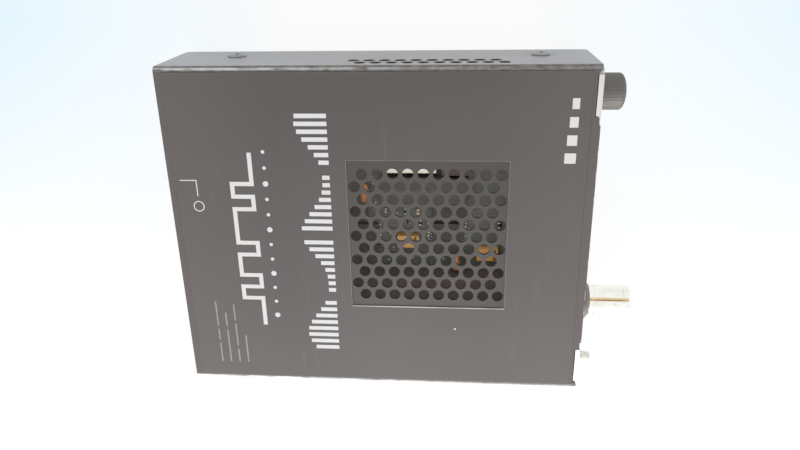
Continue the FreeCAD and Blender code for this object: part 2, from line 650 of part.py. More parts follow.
def make_dc_jack():
    """The power inlet: a moulded body whose nose fills the rear wall's hole, and its pin."""
    moulding = block("DcBlock",
                     ("dc_across - dc_body / 2", "power_back", "middle_z - dc_body / 2"),
                     ("dc_across + dc_body / 2", "dc_body_back", "middle_z + dc_body / 2"))
    nose = rod("DcNose", ("dc_across", "dc_body_back - past", "middle_z"), ALONG_Y,
               "dc_nose_radius", "wall_back - dc_body_back + past")
    bore = rod("DcBore", ("dc_across", "wall_back - dc_bore_depth", "middle_z"), ALONG_Y,
               "dc_bore_radius", "dc_bore_depth + past")
    seat = rod("DcPinSeat", ("dc_across", "power_back + dc_floor", "middle_z"), ALONG_Y,
               "dc_pin_radius", "dc_body")
    node("dc_jack_body", less("DcJackBody", joined("DcShell", [moulding, nose]), [bore, seat]))
    pin_end = "wall_back - dc_pin_setback"
    node("dc_jack_pin", turned("DcPin", "dc_across", "middle_z", [
        ("0", "power_back + dc_floor"), ("dc_pin_radius", "power_back + dc_floor"),
        ("dc_pin_radius", f"{pin_end} - dc_pin_point"),
        ("dc_pin_radius - dc_pin_point", pin_end), ("0", pin_end)]))
    low_z = "middle_z - dc_bore_radius + dc_spring_gap"
    leaf = block("DcSpring",
                 ("dc_across - dc_spring_width / 2", "wall_back - dc_bore_depth", low_z),
                 ("dc_across + dc_spring_width / 2", "wall_back - dc_spring_setback",
                  f"{low_z} + dc_spring_sheet"))
    room = rod("DcBoreRoom", ("dc_across", "wall_back - dc_bore_depth", "middle_z"), ALONG_Y,
               "dc_bore_radius - dc_spring_gap", "dc_bore_depth")
    contact = doc.addObject("Part::Common", "DcJackSpring")
    contact.Base, contact.Tool = leaf, room
    node("dc_jack_spring", contact)


def leaf_row(name, low, high, above, below):
    """One solid for each contact along the card's tongue, above it and below it."""
    leaves = []
    for k in range(SIZES["leaf_count"]):
        at_x = f"({k} - (leaf_count - 1) / 2) * leaf_pitch"
        for tag, (start, end) in (("Top", above), ("Low", below)):
            leaves.append(block(f"{name}{tag}{k}", (f"{at_x} - leaf_width / 2", low, start),
                                (f"{at_x} + leaf_width / 2", high, end)))
    return leaves


def make_card_socket():
    """The socket on the power board that the card's tongue plugs into, and its contacts."""
    shell = block("SocketShell", ("-card_socket_half", "socket_front",
                                  "card_socket_z - card_socket_height / 2"),
                  ("card_socket_half", "power_front", "card_socket_z + card_socket_height / 2"))
    slot_half = "(tongue_width / 2 + slot_side_gap)"
    slot = block("SocketSlot",
                 (f"-{slot_half}", "socket_front - past", "board_low - leaf_room"),
                 (slot_half, "slot_back", "board_top + leaf_room"))
    node("card_socket", less("CardSocket", shell, [slot]))
    contacts = leaf_row("Leaf", "slot_back - leaf_length", "slot_back",
                        ("board_top + leaf_room - leaf_sheet", "board_top + leaf_room"),
                        ("board_low - leaf_room", "board_low - leaf_room + leaf_sheet"))
    node("socket_contacts", group("SocketContacts", contacts))
    fingers = leaf_row("Finger", "board_rear + finger_start", "tongue_end - finger_end",
                       ("board_top", "board_top + finger_sheet"),
                       ("board_low - finger_sheet", "board_low"))
    node("edge_fingers", group("EdgeFingers", fingers))


def make_power_parts():
    """The filter capacitor, lying on its side, and the fuse of the power board."""
    can_at = ("power_can_across", "power_front - power_can_length", "middle_z + power_can_rise")
    node("input_capacitor", rod("PowerCan", can_at, ALONG_Y, "power_can_radius",
                                "power_can_length"))
    node("input_fuse", block(
        "FuseBlock", ("fuse_across", "power_front - fuse_tall", "middle_z + fuse_rise"),
        ("fuse_across + fuse_long", "power_front", "middle_z + fuse_rise + fuse_wide")))


# ---------------------------------------------------------------- the card
def make_panel():
    """The card's front plate, with two ears that fill the lid's notches."""
    body = new_body("Panel")
    plate = sketch_on(body, "PanelPlate", "XZ_Plane", "-(panel_back)")
    low_z, top_z, ear_z = "floor_top + panel_gap", "roof_z - panel_gap", "face_z - ear_sink"
    inner = "notch_across - notch_length / 2 + ear_gap"
    outer = "notch_across + notch_length / 2 - notch_slope - ear_gap"
    outline(plate, [("-panel_half", low_z), ("panel_half", low_z), ("panel_half", top_z),
                    (outer, top_z), (outer, ear_z), (inner, ear_z), (inner, top_z),
                    (f"-({inner})", top_z), (f"-({inner})", ear_z), (f"-({outer})", ear_z),
                    (f"-({outer})", top_z), ("-panel_half", top_z)])
    pad(body, plate, "panel_sheet")
    holes = sketch_on(body, "PanelHoles", "XZ_Plane", "-(panel_back + past)")
    ring(holes, "coax_x", "middle_z", "collar_radius + panel_hole_gap")
    ring(holes, "thumb_x", "middle_z", "shank_radius + thumb_hole_gap")
    ring(holes, "lamp_x", "lamp_z", "lamp_radius + panel_hole_gap")
    side_gap = "jack_width / 2 + jack_shield + panel_hole_gap"
    rectangle(holes, (f"jack_across - ({side_gap})", "board_top - panel_hole_gap"),
              (f"jack_across + {side_gap}",
               "board_top + jack_height + jack_shield + panel_hole_gap"))
    for across in BRACKETS:
        ring(holes, across, "bracket_hole_z", "bracket_screw_radius + thread_gap")
    pocket(body, holes, "panel_sheet + 2 * past", backwards=True)
    sinks = sketch_on(body, "PanelSinks", "XZ_Plane", "-(panel_front)")
    for across in BRACKETS:
        ring(sinks, across, "bracket_hole_z", "bracket_head_radius + thread_gap")
    pocket(body, sinks, "bracket_head_sink")
    node("card_panel", body)


def make_board():
    """The card's circuit board, with the tongue that enters the socket."""
    body = new_body("Board")
    blank = sketch_on(body, "BoardBlank", "XY_Plane", "board_low")
    half, end = "tongue_width / 2", "tongue_end - tongue_bevel"
    outline(blank, [("-board_half", "board_front"), ("board_half", "board_front"),
                    ("board_half", "board_rear"), (half, "board_rear"), (half, end),
                    (f"{half} - tongue_bevel", "tongue_end"),
                    (f"-({half} - tongue_bevel)", "tongue_end"), (f"-({half})", end),
                    (f"-({half})", "board_rear"), ("-board_half", "board_rear")])
    pad(body, blank, "board_sheet")
    holes = sketch_on(body, "BoardHoles", "XY_Plane", "board_low - past")
    for across in BRACKETS:
        ring(holes, across, "bracket_hole_y", "bracket_screw_radius + thread_gap")
    for side in (-1, 1):
        ring(holes, f"coax_x + {side} * coax_pin_spread / 2", "coax_pin_y",
             "coax_pin_radius + thread_gap")
    pocket(body, holes, "board_sheet + 2 * past", backwards=True)
    node("card_board", body)


def make_brackets():
    """Two angle brackets that carry the board on the panel, and the screws that hold them."""
    brackets, screws = [], []
    for k, across in enumerate(BRACKETS):
        left, right = f"{across} - bracket_width / 2", f"{across} + bracket_width / 2"
        upright = block(f"Upright{k}", (left, "panel_back", "board_top"),
                        (right, "panel_back + bracket_sheet", "board_top + bracket_height"))
        foot = block(f"BracketFoot{k}", (left, "panel_back", "board_top"),
                     (right, "panel_back + bracket_foot", "board_top + bracket_sheet"))
        front_hole = rod(f"UprightHole{k}", (across, "panel_back - past", "bracket_hole_z"),
                         ALONG_Y, "bracket_screw_radius", "bracket_sheet + 2 * past")
        foot_hole = rod(f"FootHole{k}", (across, "bracket_hole_y", "board_top - past"), UP,
                        "bracket_screw_radius", "bracket_sheet + 2 * past")
        brackets.append(less(f"Bracket{k}", joined(f"Angle{k}", [upright, foot]),
                             [front_hole, foot_hole]))
        screws.append(panel_screw(k, across))
        screws.append(board_screw(k, across))
    node("board_brackets", group("BoardBrackets", brackets))
    node("bracket_screws", group("BracketScrews", screws))


def panel_screw(k, across):
    """A slotted screw, sunk in the panel's face, into a bracket."""
    at = (across, "panel_front", "bracket_hole_z")
    head = rod(f"FlatHead{k}", at, ALONG_Y, "bracket_head_radius", "bracket_head_sink")
    tail = rod(f"FlatTail{k}", at, ALONG_Y, "bracket_screw_radius",
               "panel_sheet + bracket_sheet + bracket_screw_tail")
    slot = block(f"FlatSlot{k}", (f"{across} - recess_length / 2", "panel_front - past",
                                  "bracket_hole_z - recess_width / 2"),
                 (f"{across} + recess_length / 2", "panel_front + recess_depth",
                  "bracket_hole_z + recess_width / 2"))
    return less(f"FlatScrew{k}", joined(f"FlatBlank{k}", [head, tail]), [slot])


def board_screw(k, across):
    """A screw from below, through the board and into a bracket's foot."""
    at = (across, "bracket_hole_y", "board_low - under_head")
    head = rod(f"UnderHead{k}", at, UP, "bracket_head_radius", "under_head")
    tail = rod(f"UnderTail{k}", at, UP, "bracket_screw_radius",
               "under_head + board_sheet + bracket_sheet + bracket_screw_tail")
    return joined(f"UnderScrew{k}", [head, tail])


def make_coax_jack():
    """The bayonet jack: moulded housing, bright barrel with two studs, insulator and contact."""
    neck_end = "coax_body_front + coax_neck_root"
    neck = turned("CoaxNeck", "coax_x", "middle_z", [
        ("barrel_radius", "collar_front"), ("collar_radius - collar_slope", "collar_front"),
        ("collar_radius", "collar_front + collar_slope"), ("collar_radius", neck_end),
        ("barrel_radius", neck_end)])
    base = block("CoaxBlock", ("coax_x - coax_body_width / 2", "coax_body_front", "board_top"),
                 ("coax_x + coax_body_width / 2", "coax_body_back",
                  "board_top + coax_body_height"))
    from_front = ("coax_x", "collar_front - past", "middle_z")
    bore = rod("CoaxBore", from_front, ALONG_Y, "barrel_radius", "barrel_root + past")
    tail_bore = rod("CoaxTailBore", from_front, ALONG_Y, "contact_radius",
                    "barrel_root + contact_tail + past")
    node("coax_housing", less("CoaxHousing", joined("CoaxShell", [neck, base]),
                              [bore, tail_bore]))
    bore_radius, bore_end = "barrel_radius - barrel_wall", "barrel_end + barrel_bore_depth"
    tube = turned("CoaxTube", "coax_x", "middle_z", [
        (bore_radius, "barrel_end"), ("barrel_radius - edge_break", "barrel_end"),
        ("barrel_radius", "barrel_end + edge_break"), ("barrel_radius", "barrel_back"),
        ("insulator_radius", "barrel_back"), ("insulator_radius", bore_end),
        (bore_radius, bore_end)])
    studs = [rod(f"Stud{k}", ("coax_x", "barrel_end + stud_setback",
                              f"middle_z + {sign} * (barrel_radius - stud_root)"), turn,
                 "stud_radius", "stud_reach + stud_root")
             for k, (sign, turn) in enumerate(((1, UP), (-1, DOWN)))]
    node("coax_barrel", joined("CoaxBarrel", [tube] + studs))
    front = "barrel_end + insulator_setback"
    node("coax_insulator", turned("CoaxInsulator", "coax_x", "middle_z", [
        ("contact_radius", front), ("insulator_radius", front),
        ("insulator_radius", "barrel_back"), ("contact_radius", "barrel_back")]))
    tip, tail = "barrel_end + contact_setback", "barrel_back + contact_tail"
    node("coax_contact", turned("CoaxContact", "coax_x", "middle_z", [
        ("contact_bore", tip), ("contact_radius", tip), ("contact_radius", tail), ("0", tail),
        ("0", f"{tip} + contact_bore_depth"), ("contact_bore", f"{tip} + contact_bore_depth")]))
    pins = [rod(f"CoaxPin{k}", (f"coax_x + {side} * coax_pin_spread / 2", "coax_pin_y",
                                "board_low - pin_tail"), UP, "coax_pin_radius",
                "board_sheet + pin_tail") for k, side in enumerate((-1, 1))]
    node("coax_pins", group("CoaxPins", pins))


def make_network_jack():
    """The eight-way modular jack beside the coaxial one: insert, shield, wires and lights."""
    left, right = "jack_across - jack_width / 2", "jack_across + jack_width / 2"
    top, mouth = "board_top + jack_height", "jack_front - past"
    shell = block("JackBlock", (left, "jack_front", "board_top"),
                  (right, "jack_back - jack_shield", top))
    cavity = block("JackCavity", ("jack_across - socket_width / 2", mouth, "socket_z"),
                   ("jack_across + socket_width / 2", "jack_front + socket_depth",
                    "socket_z + socket_height"))
    latch = block("JackLatch",
                  ("jack_across - latch_width / 2", mouth, "board_top + latch_rise"),
                  ("jack_across + latch_width / 2", "jack_front + latch_depth",
                   "socket_z + past"))
    pockets, lights = [], []
    for k, side in enumerate((-1, 1)):
        middle = f"jack_across + {side} * light_spread"
        low = (f"{middle} - light_width / 2", "jack_front", f"{top} - light_drop - light_height")
        high = (f"{middle} + light_width / 2", "jack_front + light_length",
                f"{top} - light_drop")
        lights.append(block(f"JackLight{k}", low, high))
        pockets.append(block(f"LightPocket{k}", low, high))
    node("network_jack", less("NetworkJack", shell, [cavity, latch] + pockets))
    node("jack_lights", group("JackLights", lights))
    outer = block("ShieldOuter", (f"{left} - jack_shield", "jack_front", "board_top"),
                  (f"{right} + jack_shield", "jack_back", f"{top} + jack_shield"))
    inner = block("ShieldInner", (left, mouth, "board_top - past"),
                  (right, "jack_back - jack_shield", top))
    node("jack_shield", less("JackShield", outer, [inner]))
    wires, wire_top = [], "socket_z + socket_height - wire_drop"
    for k in range(SIZES["jack_wires"]):
        at_x = f"jack_across + ({k} - (jack_wires - 1) / 2) * wire_pitch"
        wires.append(block(f"JackWire{k}",
                           (f"{at_x} - wire_width / 2", "jack_front + socket_depth - wire_length",
                            f"{wire_top} - wire_sheet"),
                           (f"{at_x} + wire_width / 2", "jack_front + socket_depth", wire_top)))
    node("jack_wires", group("JackWires", wires))


def make_status_lamp():
    """The indicator beside the coaxial jack: a domed lens in a tall holder."""
    tip, root = "front_y - lamp_reach", "panel_back + lamp_seat"
    node("status_lamp", turned("StatusLamp", "lamp_x", "lamp_z", [
        ("0", tip), ("lamp_flat", f"{tip} + edge_break"), ("lamp_radius", f"{tip} + lamp_dome"),
        ("lamp_radius", root), ("0", root)]))
    holder = block("LampBlock", ("lamp_x - lamp_holder_width / 2", "panel_back + lamp_holder_gap",
                                 "board_top"),
                   ("lamp_x + lamp_holder_width / 2", "panel_back + lamp_holder_length",
                    "lamp_z + lamp_holder_width / 2"))
    seat = rod("LampSeat", ("lamp_x", "panel_back - past", "lamp_z"), ALONG_Y, "lamp_radius",
               "lamp_seat + past")
    node("lamp_holder", less("LampHolder", holder, [seat]))


def on_board(name, across, along, wide, long, tall, lift="0"):
    """A block that stands on the card's board, in from its left edge and behind its front edge."""
    return block(name, (f"board_left + {across} - ({wide}) / 2",
                        f"board_front + {along} - ({long}) / 2", f"board_top + {lift}"),
                 (f"board_left + {across} + ({wide}) / 2",
                  f"board_front + {along} + ({long}) / 2", f"board_top + {lift} + {tall}"))


def standing(part, lift="0"):
    return on_board(part.title().replace("_", ""), f"{part}_across", f"{part}_along",
                    f"{part}_wide", f"{part}_long", f"{part}_tall", lift)


def side_leads(part, per_side, across_x):
    """Flat leads along two sides of a part. They leave its foot and lie on the board."""
    leads = []
    long_side, short_side = ("long", "wide") if across_x else ("wide", "long")
    for k in range(per_side):
        row_length = f"({part}_{long_side} - 2 * lead_end_inset)"
        step = f"({k} / {per_side - 1} - 0.5) * {row_length}"
        for side in (-1, 1):
            reach = f"{side} * ({part}_{short_side} / 2 + lead_reach / 2)"
            across = f"{part}_across + {reach if across_x else step}"
            along = f"{part}_along + {step if across_x else reach}"
            wide, long = "lead_reach", "lead_width"
            if not across_x:
                wide, long = long, wide
            name = f"{part.title().replace('_', '')}Lead{k}{'A' if side < 0 else 'B'}"
            leads.append(on_board(name, across, along, wide, long, "lead_sheet"))
    return leads


def make_card_parts():
    """What the board carries between its jacks and its tongue."""
    node("magnetics_module", standing("magnetics"))
    node("signal_relay", standing("relay"))
    node("isolation_transformer", standing("isolator"))
    node("logic_chips", group("LogicChips", [
        standing("main_chip"), standing("line_chip"), standing("buffer_chip"),
        standing("clock_chip"), standing("regulator")]))
    leads = (side_leads("main_chip", 9, False) + side_leads("line_chip", 7, False)
             + side_leads("buffer_chip", 7, True) + side_leads("magnetics", 8, True))
    node("chip_leads", group("ChipLeads", leads))
    node("clock_can", standing("clock_can"))
    node("power_converter", block(
        "PowerConverter", ("converter_x", "board_front + converter_start", "board_top"),
        ("converter_x + converter_wide", "board_front + converter_start + converter_long",
         "board_top + converter_tall")))
    make_capacitors()
    make_small_parts()


def make_capacitors():
    """Yellow moulded tantalums with bright ends, orange dipped discs and a tall can."""
    blocks, caps, discs = [], [], []
    for k in range(len(SPOTS["tantalum"])):
        across, along = f"tantalum_across_{k}", f"tantalum_along_{k}"
        blocks.append(on_board(f"Tantalum{k}", across, along, "tantalum_wide",
                               "tantalum_long - 2 * tantalum_cap", "tantalum_tall"))
        for end in (-1, 1):
            caps.append(on_board(f"TantalumEnd{k}{'A' if end < 0 else 'B'}", across,
                                 f"({along} + {end} * (tantalum_long - tantalum_cap) / 2)",
                                 "tantalum_cap_wide", "tantalum_cap", "tantalum_cap_tall"))
    node("tantalum_capacitors", group("TantalumCapacitors", blocks))
    node("tantalum_ends", group("TantalumEnds", caps))
    for k in range(len(SPOTS["dipped"])):
        discs.append(dipped_disc(k, f"board_left + dipped_across_{k}",
                                 f"board_front + dipped_along_{k}"))
    node("dipped_capacitors", group("DippedCapacitors", discs))
    can = new_body("CanCapacitor")
    profile = sketch_on(can, "CanProfile", "XZ_Plane")
    outline(profile, [("0", "0"), ("can_radius", "0"),
                      ("can_radius", "can_groove_rise - can_groove"),
                      ("can_radius - can_groove", "can_groove_rise"),
                      ("can_radius", "can_groove_rise + can_groove"),
                      ("can_radius", "can_height - edge_break"),
                      ("can_radius - edge_break", "can_height"), ("0", "can_height")])
    feature = can.newObject("PartDesign::Revolution", "CanTurn")
    feature.Profile = (profile, [""])
    feature.ReferenceAxis = (profile, ["V_Axis"])
    feature.Angle = 360
    put(can, ("board_left + can_across_0", "board_front + can_along_0", "board_top"))
    node("can_capacitor", can)


def dipped_disc(k, across, middle):
    """A round dipped capacitor, on edge across the board, and its two wire legs."""
    disc = turned(f"Disc{k}", across, "board_top + dipped_leg + dipped_radius", [
        ("0", f"{middle} - dipped_thick / 2"),
        ("dipped_shoulder", f"{middle} - dipped_thick / 2 + edge_break"),
        ("dipped_radius", f"{middle} - dipped_rim / 2"),
        ("dipped_radius", f"{middle} + dipped_rim / 2"),
        ("dipped_shoulder", f"{middle} + dipped_thick / 2 - edge_break"),
        ("0", f"{middle} + dipped_thick / 2")])
    legs = [rod(f"DiscLeg{k}{side}",
                (f"{across} + {step} * dipped_leg_spread / 2", middle, "board_top"), UP,
                "dipped_leg_radius", "dipped_leg + dipped_radius")
            for side, step in (("A", -1), ("B", 1))]
    return joined(f"Dipped{k}", [disc] + legs)


def make_small_parts():
    """Chip resistors and capacitors, and a wound choke."""
    for kind in ("resistor", "capacitor"):
        chips = [on_board(f"{kind.title()}{k}", f"{kind}_across_{k}", f"{kind}_along_{k}",
                          "chip_long", "chip_wide", "chip_tall")
                 for k in range(len(SPOTS[kind]))]
        node(f"chip_{kind}s", group(f"Chip{kind.title()}s", chips))
    choke = doc.addObject("Part::Torus", "ChokeCoil")
    bind(choke, "Radius1", "choke_radius - choke_tube")
    bind(choke, "Radius2", "choke_tube")
    put(choke, ("board_left + choke_across_0", "board_front + choke_along_0",
                "board_top + choke_tube"))
    node("choke_coil", choke)


# ---------------------------------------------------------------- the thumbscrew
def make_thumbscrew():
    """A captive screw: knurled knob, steel shank, and the washer that keeps it in the panel."""
    seat = "knob_back - shank_seat"
    knob = turned("Knob", "thumb_x", "middle_z", [
        ("shank_radius", "knob_back"), ("knob_radius - edge_break", "knob_back"),
        ("knob_radius", "knob_back - edge_break"), ("knob_radius", "knob_front + knob_dome"),
        ("knob_radius - knob_dome_width / 2", "knob_front + knob_dome / 4"),
        ("knob_radius - knob_dome_width", "knob_front"), ("0", "knob_front"),
        ("0", seat), ("shank_radius", seat)])
    groove = sketch_on(knob, "Knurl", "XZ_Plane", "-(knob_back + past)")
    ring(groove, "knob_radius + knurl_rise", "0", "knurl_radius")
    cut = pocket(knob, groove, "knob_back + past - knob_front - knurl_end", backwards=True)
    pattern = knob.newObject("PartDesign::PolarPattern", "KnurlRound")
    pattern.Originals = [cut]
    pattern.Axis = (groove, ["N_Axis"])
    pattern.Angle = 360
    pattern.Occurrences = SIZES["knurl_count"]
    knob.Tip = pattern
    doc.recompute()
    node("thumbscrew_knob", knob)
    neck_start, neck_end = "washer_front - washer_play", "washer_back + washer_play"
    node("thumbscrew_shank", turned("Shank", "thumb_x", "middle_z", [
        ("0", seat), ("shank_radius", seat), ("shank_radius", neck_start),
        ("neck_radius", neck_start), ("neck_radius", neck_end), ("shank_radius", neck_end),
        ("shank_radius", "shank_end - shank_point"),
        ("shank_radius - shank_point", "shank_end"), ("0", "shank_end")]))
    bore = "neck_radius + running_gap"
    node("retaining_washer", turned("RetainingWasher", "thumb_x", "middle_z", [
        (bore, "washer_front"), ("washer_radius", "washer_front"),
        ("washer_radius", "washer_back"), (bore, "washer_back")]))


def check_and_write():
    """Stops on any failed object, then writes each sub-part to its file."""
    doc.recompute()
    for thing in doc.Objects:
        if "Invalid" in thing.State or "Error" in thing.State:
            raise RuntimeError(f"{thing.Name} failed: {thing.State}")
    for thing in NODES:
        if thing.Shape.isNull() or not thing.Shape.isValid():
            raise RuntimeError(f"{thing.Label} has no valid shape")
    os.makedirs("parts", exist_ok=True)
    for thing in NODES:
        thing.Shape.exportStep(os.path.join("parts", f"{thing.Label}.step"))
        print(f"{thing.Label}: {len(thing.Shape.Solids)} solid(s), {thing.Shape.Volume:.1f} mm3")


for make in (make_cover, make_label, make_tray, make_feet, make_side_screws, make_guides,
             make_power_board, make_dc_jack, make_card_socket, make_power_parts, make_panel,
             make_board, make_brackets, make_coax_jack, make_network_jack, make_status_lamp,
             make_card_parts, make_thumbscrew):
    make()
check_and_write()
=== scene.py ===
"""Finishes and fine detail for a one-slot desktop media converter, around its fixed CAD model.

Metres, in the model's own frame: +Z out of the labelled face, -Y out of the front panel, +X to the
thumbscrew's side. Every piece takes its place from the boxes of the CAD nodes.
"""

import json
import math
import random

import bmesh
import bpy
from bpy.props import FloatProperty, FloatVectorProperty, IntProperty, PointerProperty
from mathutils import Matrix, Vector, noise

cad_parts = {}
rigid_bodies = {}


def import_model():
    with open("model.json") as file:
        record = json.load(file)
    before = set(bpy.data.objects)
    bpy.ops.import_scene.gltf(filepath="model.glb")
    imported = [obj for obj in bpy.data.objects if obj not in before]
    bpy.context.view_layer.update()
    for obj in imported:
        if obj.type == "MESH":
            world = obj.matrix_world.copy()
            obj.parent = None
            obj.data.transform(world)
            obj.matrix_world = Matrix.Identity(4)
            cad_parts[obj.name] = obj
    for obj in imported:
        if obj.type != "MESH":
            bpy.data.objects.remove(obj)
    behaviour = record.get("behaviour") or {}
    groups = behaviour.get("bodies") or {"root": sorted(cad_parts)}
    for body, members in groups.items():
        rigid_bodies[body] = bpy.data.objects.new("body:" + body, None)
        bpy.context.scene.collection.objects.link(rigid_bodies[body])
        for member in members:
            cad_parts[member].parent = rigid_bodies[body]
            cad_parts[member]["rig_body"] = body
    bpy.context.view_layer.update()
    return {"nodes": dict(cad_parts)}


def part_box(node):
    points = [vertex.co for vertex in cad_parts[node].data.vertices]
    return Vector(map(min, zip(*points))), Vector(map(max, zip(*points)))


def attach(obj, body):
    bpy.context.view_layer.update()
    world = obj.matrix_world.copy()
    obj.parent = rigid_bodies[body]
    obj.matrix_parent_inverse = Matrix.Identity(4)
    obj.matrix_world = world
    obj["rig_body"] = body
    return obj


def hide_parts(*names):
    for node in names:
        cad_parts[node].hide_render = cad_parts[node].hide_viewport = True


bl_info = {
    "name": "Media converter",
    "version": (1, 0, 0),
    "blender": (4, 5, 0),
    "location": "3D View > Sidebar > Converter",
    "description": "Finishes and fine detail for a desktop media converter",
    "category": "Object",
}

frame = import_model()
MM = 0.001
X, Y, Z = Vector((1, 0, 0)), Vector((0, 1, 0)), Vector((0, 0, 1))
MIX_A, MIX_B, MIX_OUT = 6, 7, 2    # the Mix node's colour sockets, whose names its others share
DONE = {"FINISHED"}


# ---------------------------------------------------------------- colours and nodes
def linear(colour):
    """An sRGB hex colour as linear red, green, blue and alpha."""
    shares = [int(colour[i:i + 2], 16) / 255 for i in (1, 3, 5)]
    return [c / 12.92 if c <= 0.04045 else ((c + 0.055) / 1.055) ** 2.4 for c in shares] + [1.0]


def per_metre(size_mm):
    """The scale of a texture whose features are that many millimetres across."""
    return 1 / (size_mm * MM)


def add_node(tree, kind, inputs=None, output=None, **settings):
    """Adds a node, makes its settings and fills or links its inputs. Gives the node, or the output
    that is asked for."""
    made = tree.nodes.new(kind)
    for name, value in settings.items():
        setattr(made, name, value)
    for name, value in (inputs or {}).items():
        if isinstance(value, bpy.types.NodeSocket):
            tree.links.new(value, made.inputs[name])
        else:
            made.inputs[name].default_value = value
    return made if output is None else made.outputs[output]


def glow_mix(tree, factor, first, second):
    """A glow between two colours."""
    colour = add_node(tree, "ShaderNodeMix", {
        "Factor": factor, MIX_A: linear(first), MIX_B: linear(second)}, MIX_OUT, data_type="RGBA")
    return add_node(tree, "ShaderNodeEmission", {"Color": colour})


class Surface:
    """A material in the making: its shader, and what is worked out from the place on the piece."""

    def __init__(self, name, colour, roughness, metallic=0.0, **values):
        self.material = bpy.data.materials.new(name)
        self.material.use_nodes = True
        self.tree = self.material.node_tree
        self.tree.nodes.clear()
        values = {key.replace("_", " ").title().replace("Ior", "IOR"): value
                  for key, value in values.items()}
        base = linear(colour) if isinstance(colour, str) else list(colour)[:3] + [1.0]
        self.shader = self.add("ShaderNodeBsdfPrincipled", {
            "Base Color": base, "Roughness": roughness, "Metallic": metallic, **values})
        self.output = self.add("ShaderNodeOutputMaterial", {
            "Surface": self.shader.outputs["BSDF"]})
        self.place = self.add("ShaderNodeTexCoord", output="Object")

    def add(self, kind, inputs=None, output=None, **settings):
        return add_node(self.tree, kind, inputs, output, **settings)

    def present(self, name):
        """What the shader's input has so far: the socket that feeds it, or its own value."""
        socket = self.shader.inputs[name]
        return socket.links[0].from_socket if socket.links else socket.default_value

    def feed(self, name, socket):
        self.tree.links.new(socket, self.shader.inputs[name])

    def patches(self, size_mm, low=0.3, high=0.7, detail=3.0, stretch=(1, 1, 1)):
        """0 to 1 in soft patches of a real size. A wider gap from low to high blurs them."""
        place = self.add("ShaderNodeMapping", {"Vector": self.place, "Scale": stretch}, "Vector")
        cloud = self.add("ShaderNodeTexNoise", {
            "Vector": place, "Scale": per_metre(size_mm), "Detail": detail}, "Fac")
        return self.add("ShaderNodeMapRange", {
            "Value": cloud, "From Min": low, "From Max": high}, "Result")

    def band(self, value, middle, half, fade):
        """1 where value lies within half of the middle, falling to 0 over fade."""
        away = self.add("ShaderNodeMath", {0: value, 1: middle}, "Value", operation="SUBTRACT")
        size = self.add("ShaderNodeMath", {0: away}, "Value", operation="ABSOLUTE")
        return self.add("ShaderNodeMapRange", {
            "Value": size, "From Min": half, "From Max": half + fade,
            "To Min": 1.0, "To Max": 0.0}, "Result")

    def shared(self, share, *factors):
        """The factors multiplied, so that only what all of them cover stays."""
        for factor in factors:
            share = self.add("ShaderNodeMath", {0: share, 1: factor}, "Value",
                             operation="MULTIPLY")
        return share

    def tint(self, factor, colour, strength):
        """Lays a second colour over the present one where factor is high."""
        self.feed("Base Color", self.add("ShaderNodeMix", {
            "Factor": self.shared(factor, strength), MIX_A: self.present("Base Color"),
            MIX_B: linear(colour)}, MIX_OUT, data_type="RGBA"))

    def rough(self, factor, high):
        """Roughness runs from its present value to a higher or lower one where factor is 1."""
        self.feed("Roughness", self.add("ShaderNodeMapRange", {
            "Value": factor, "To Min": self.present("Roughness"), "To Max": high}, "Result"))

    def bump(self, height, depth_mm):
        """Adds relief of a real depth to what the surface has so far."""
        inputs = {"Height": height, "Distance": depth_mm * MM, "Strength": 1.0}
        if self.shader.inputs["Normal"].links:
            inputs["Normal"] = self.present("Normal")
        self.feed("Normal", self.add("ShaderNodeBump", inputs, "Normal"))


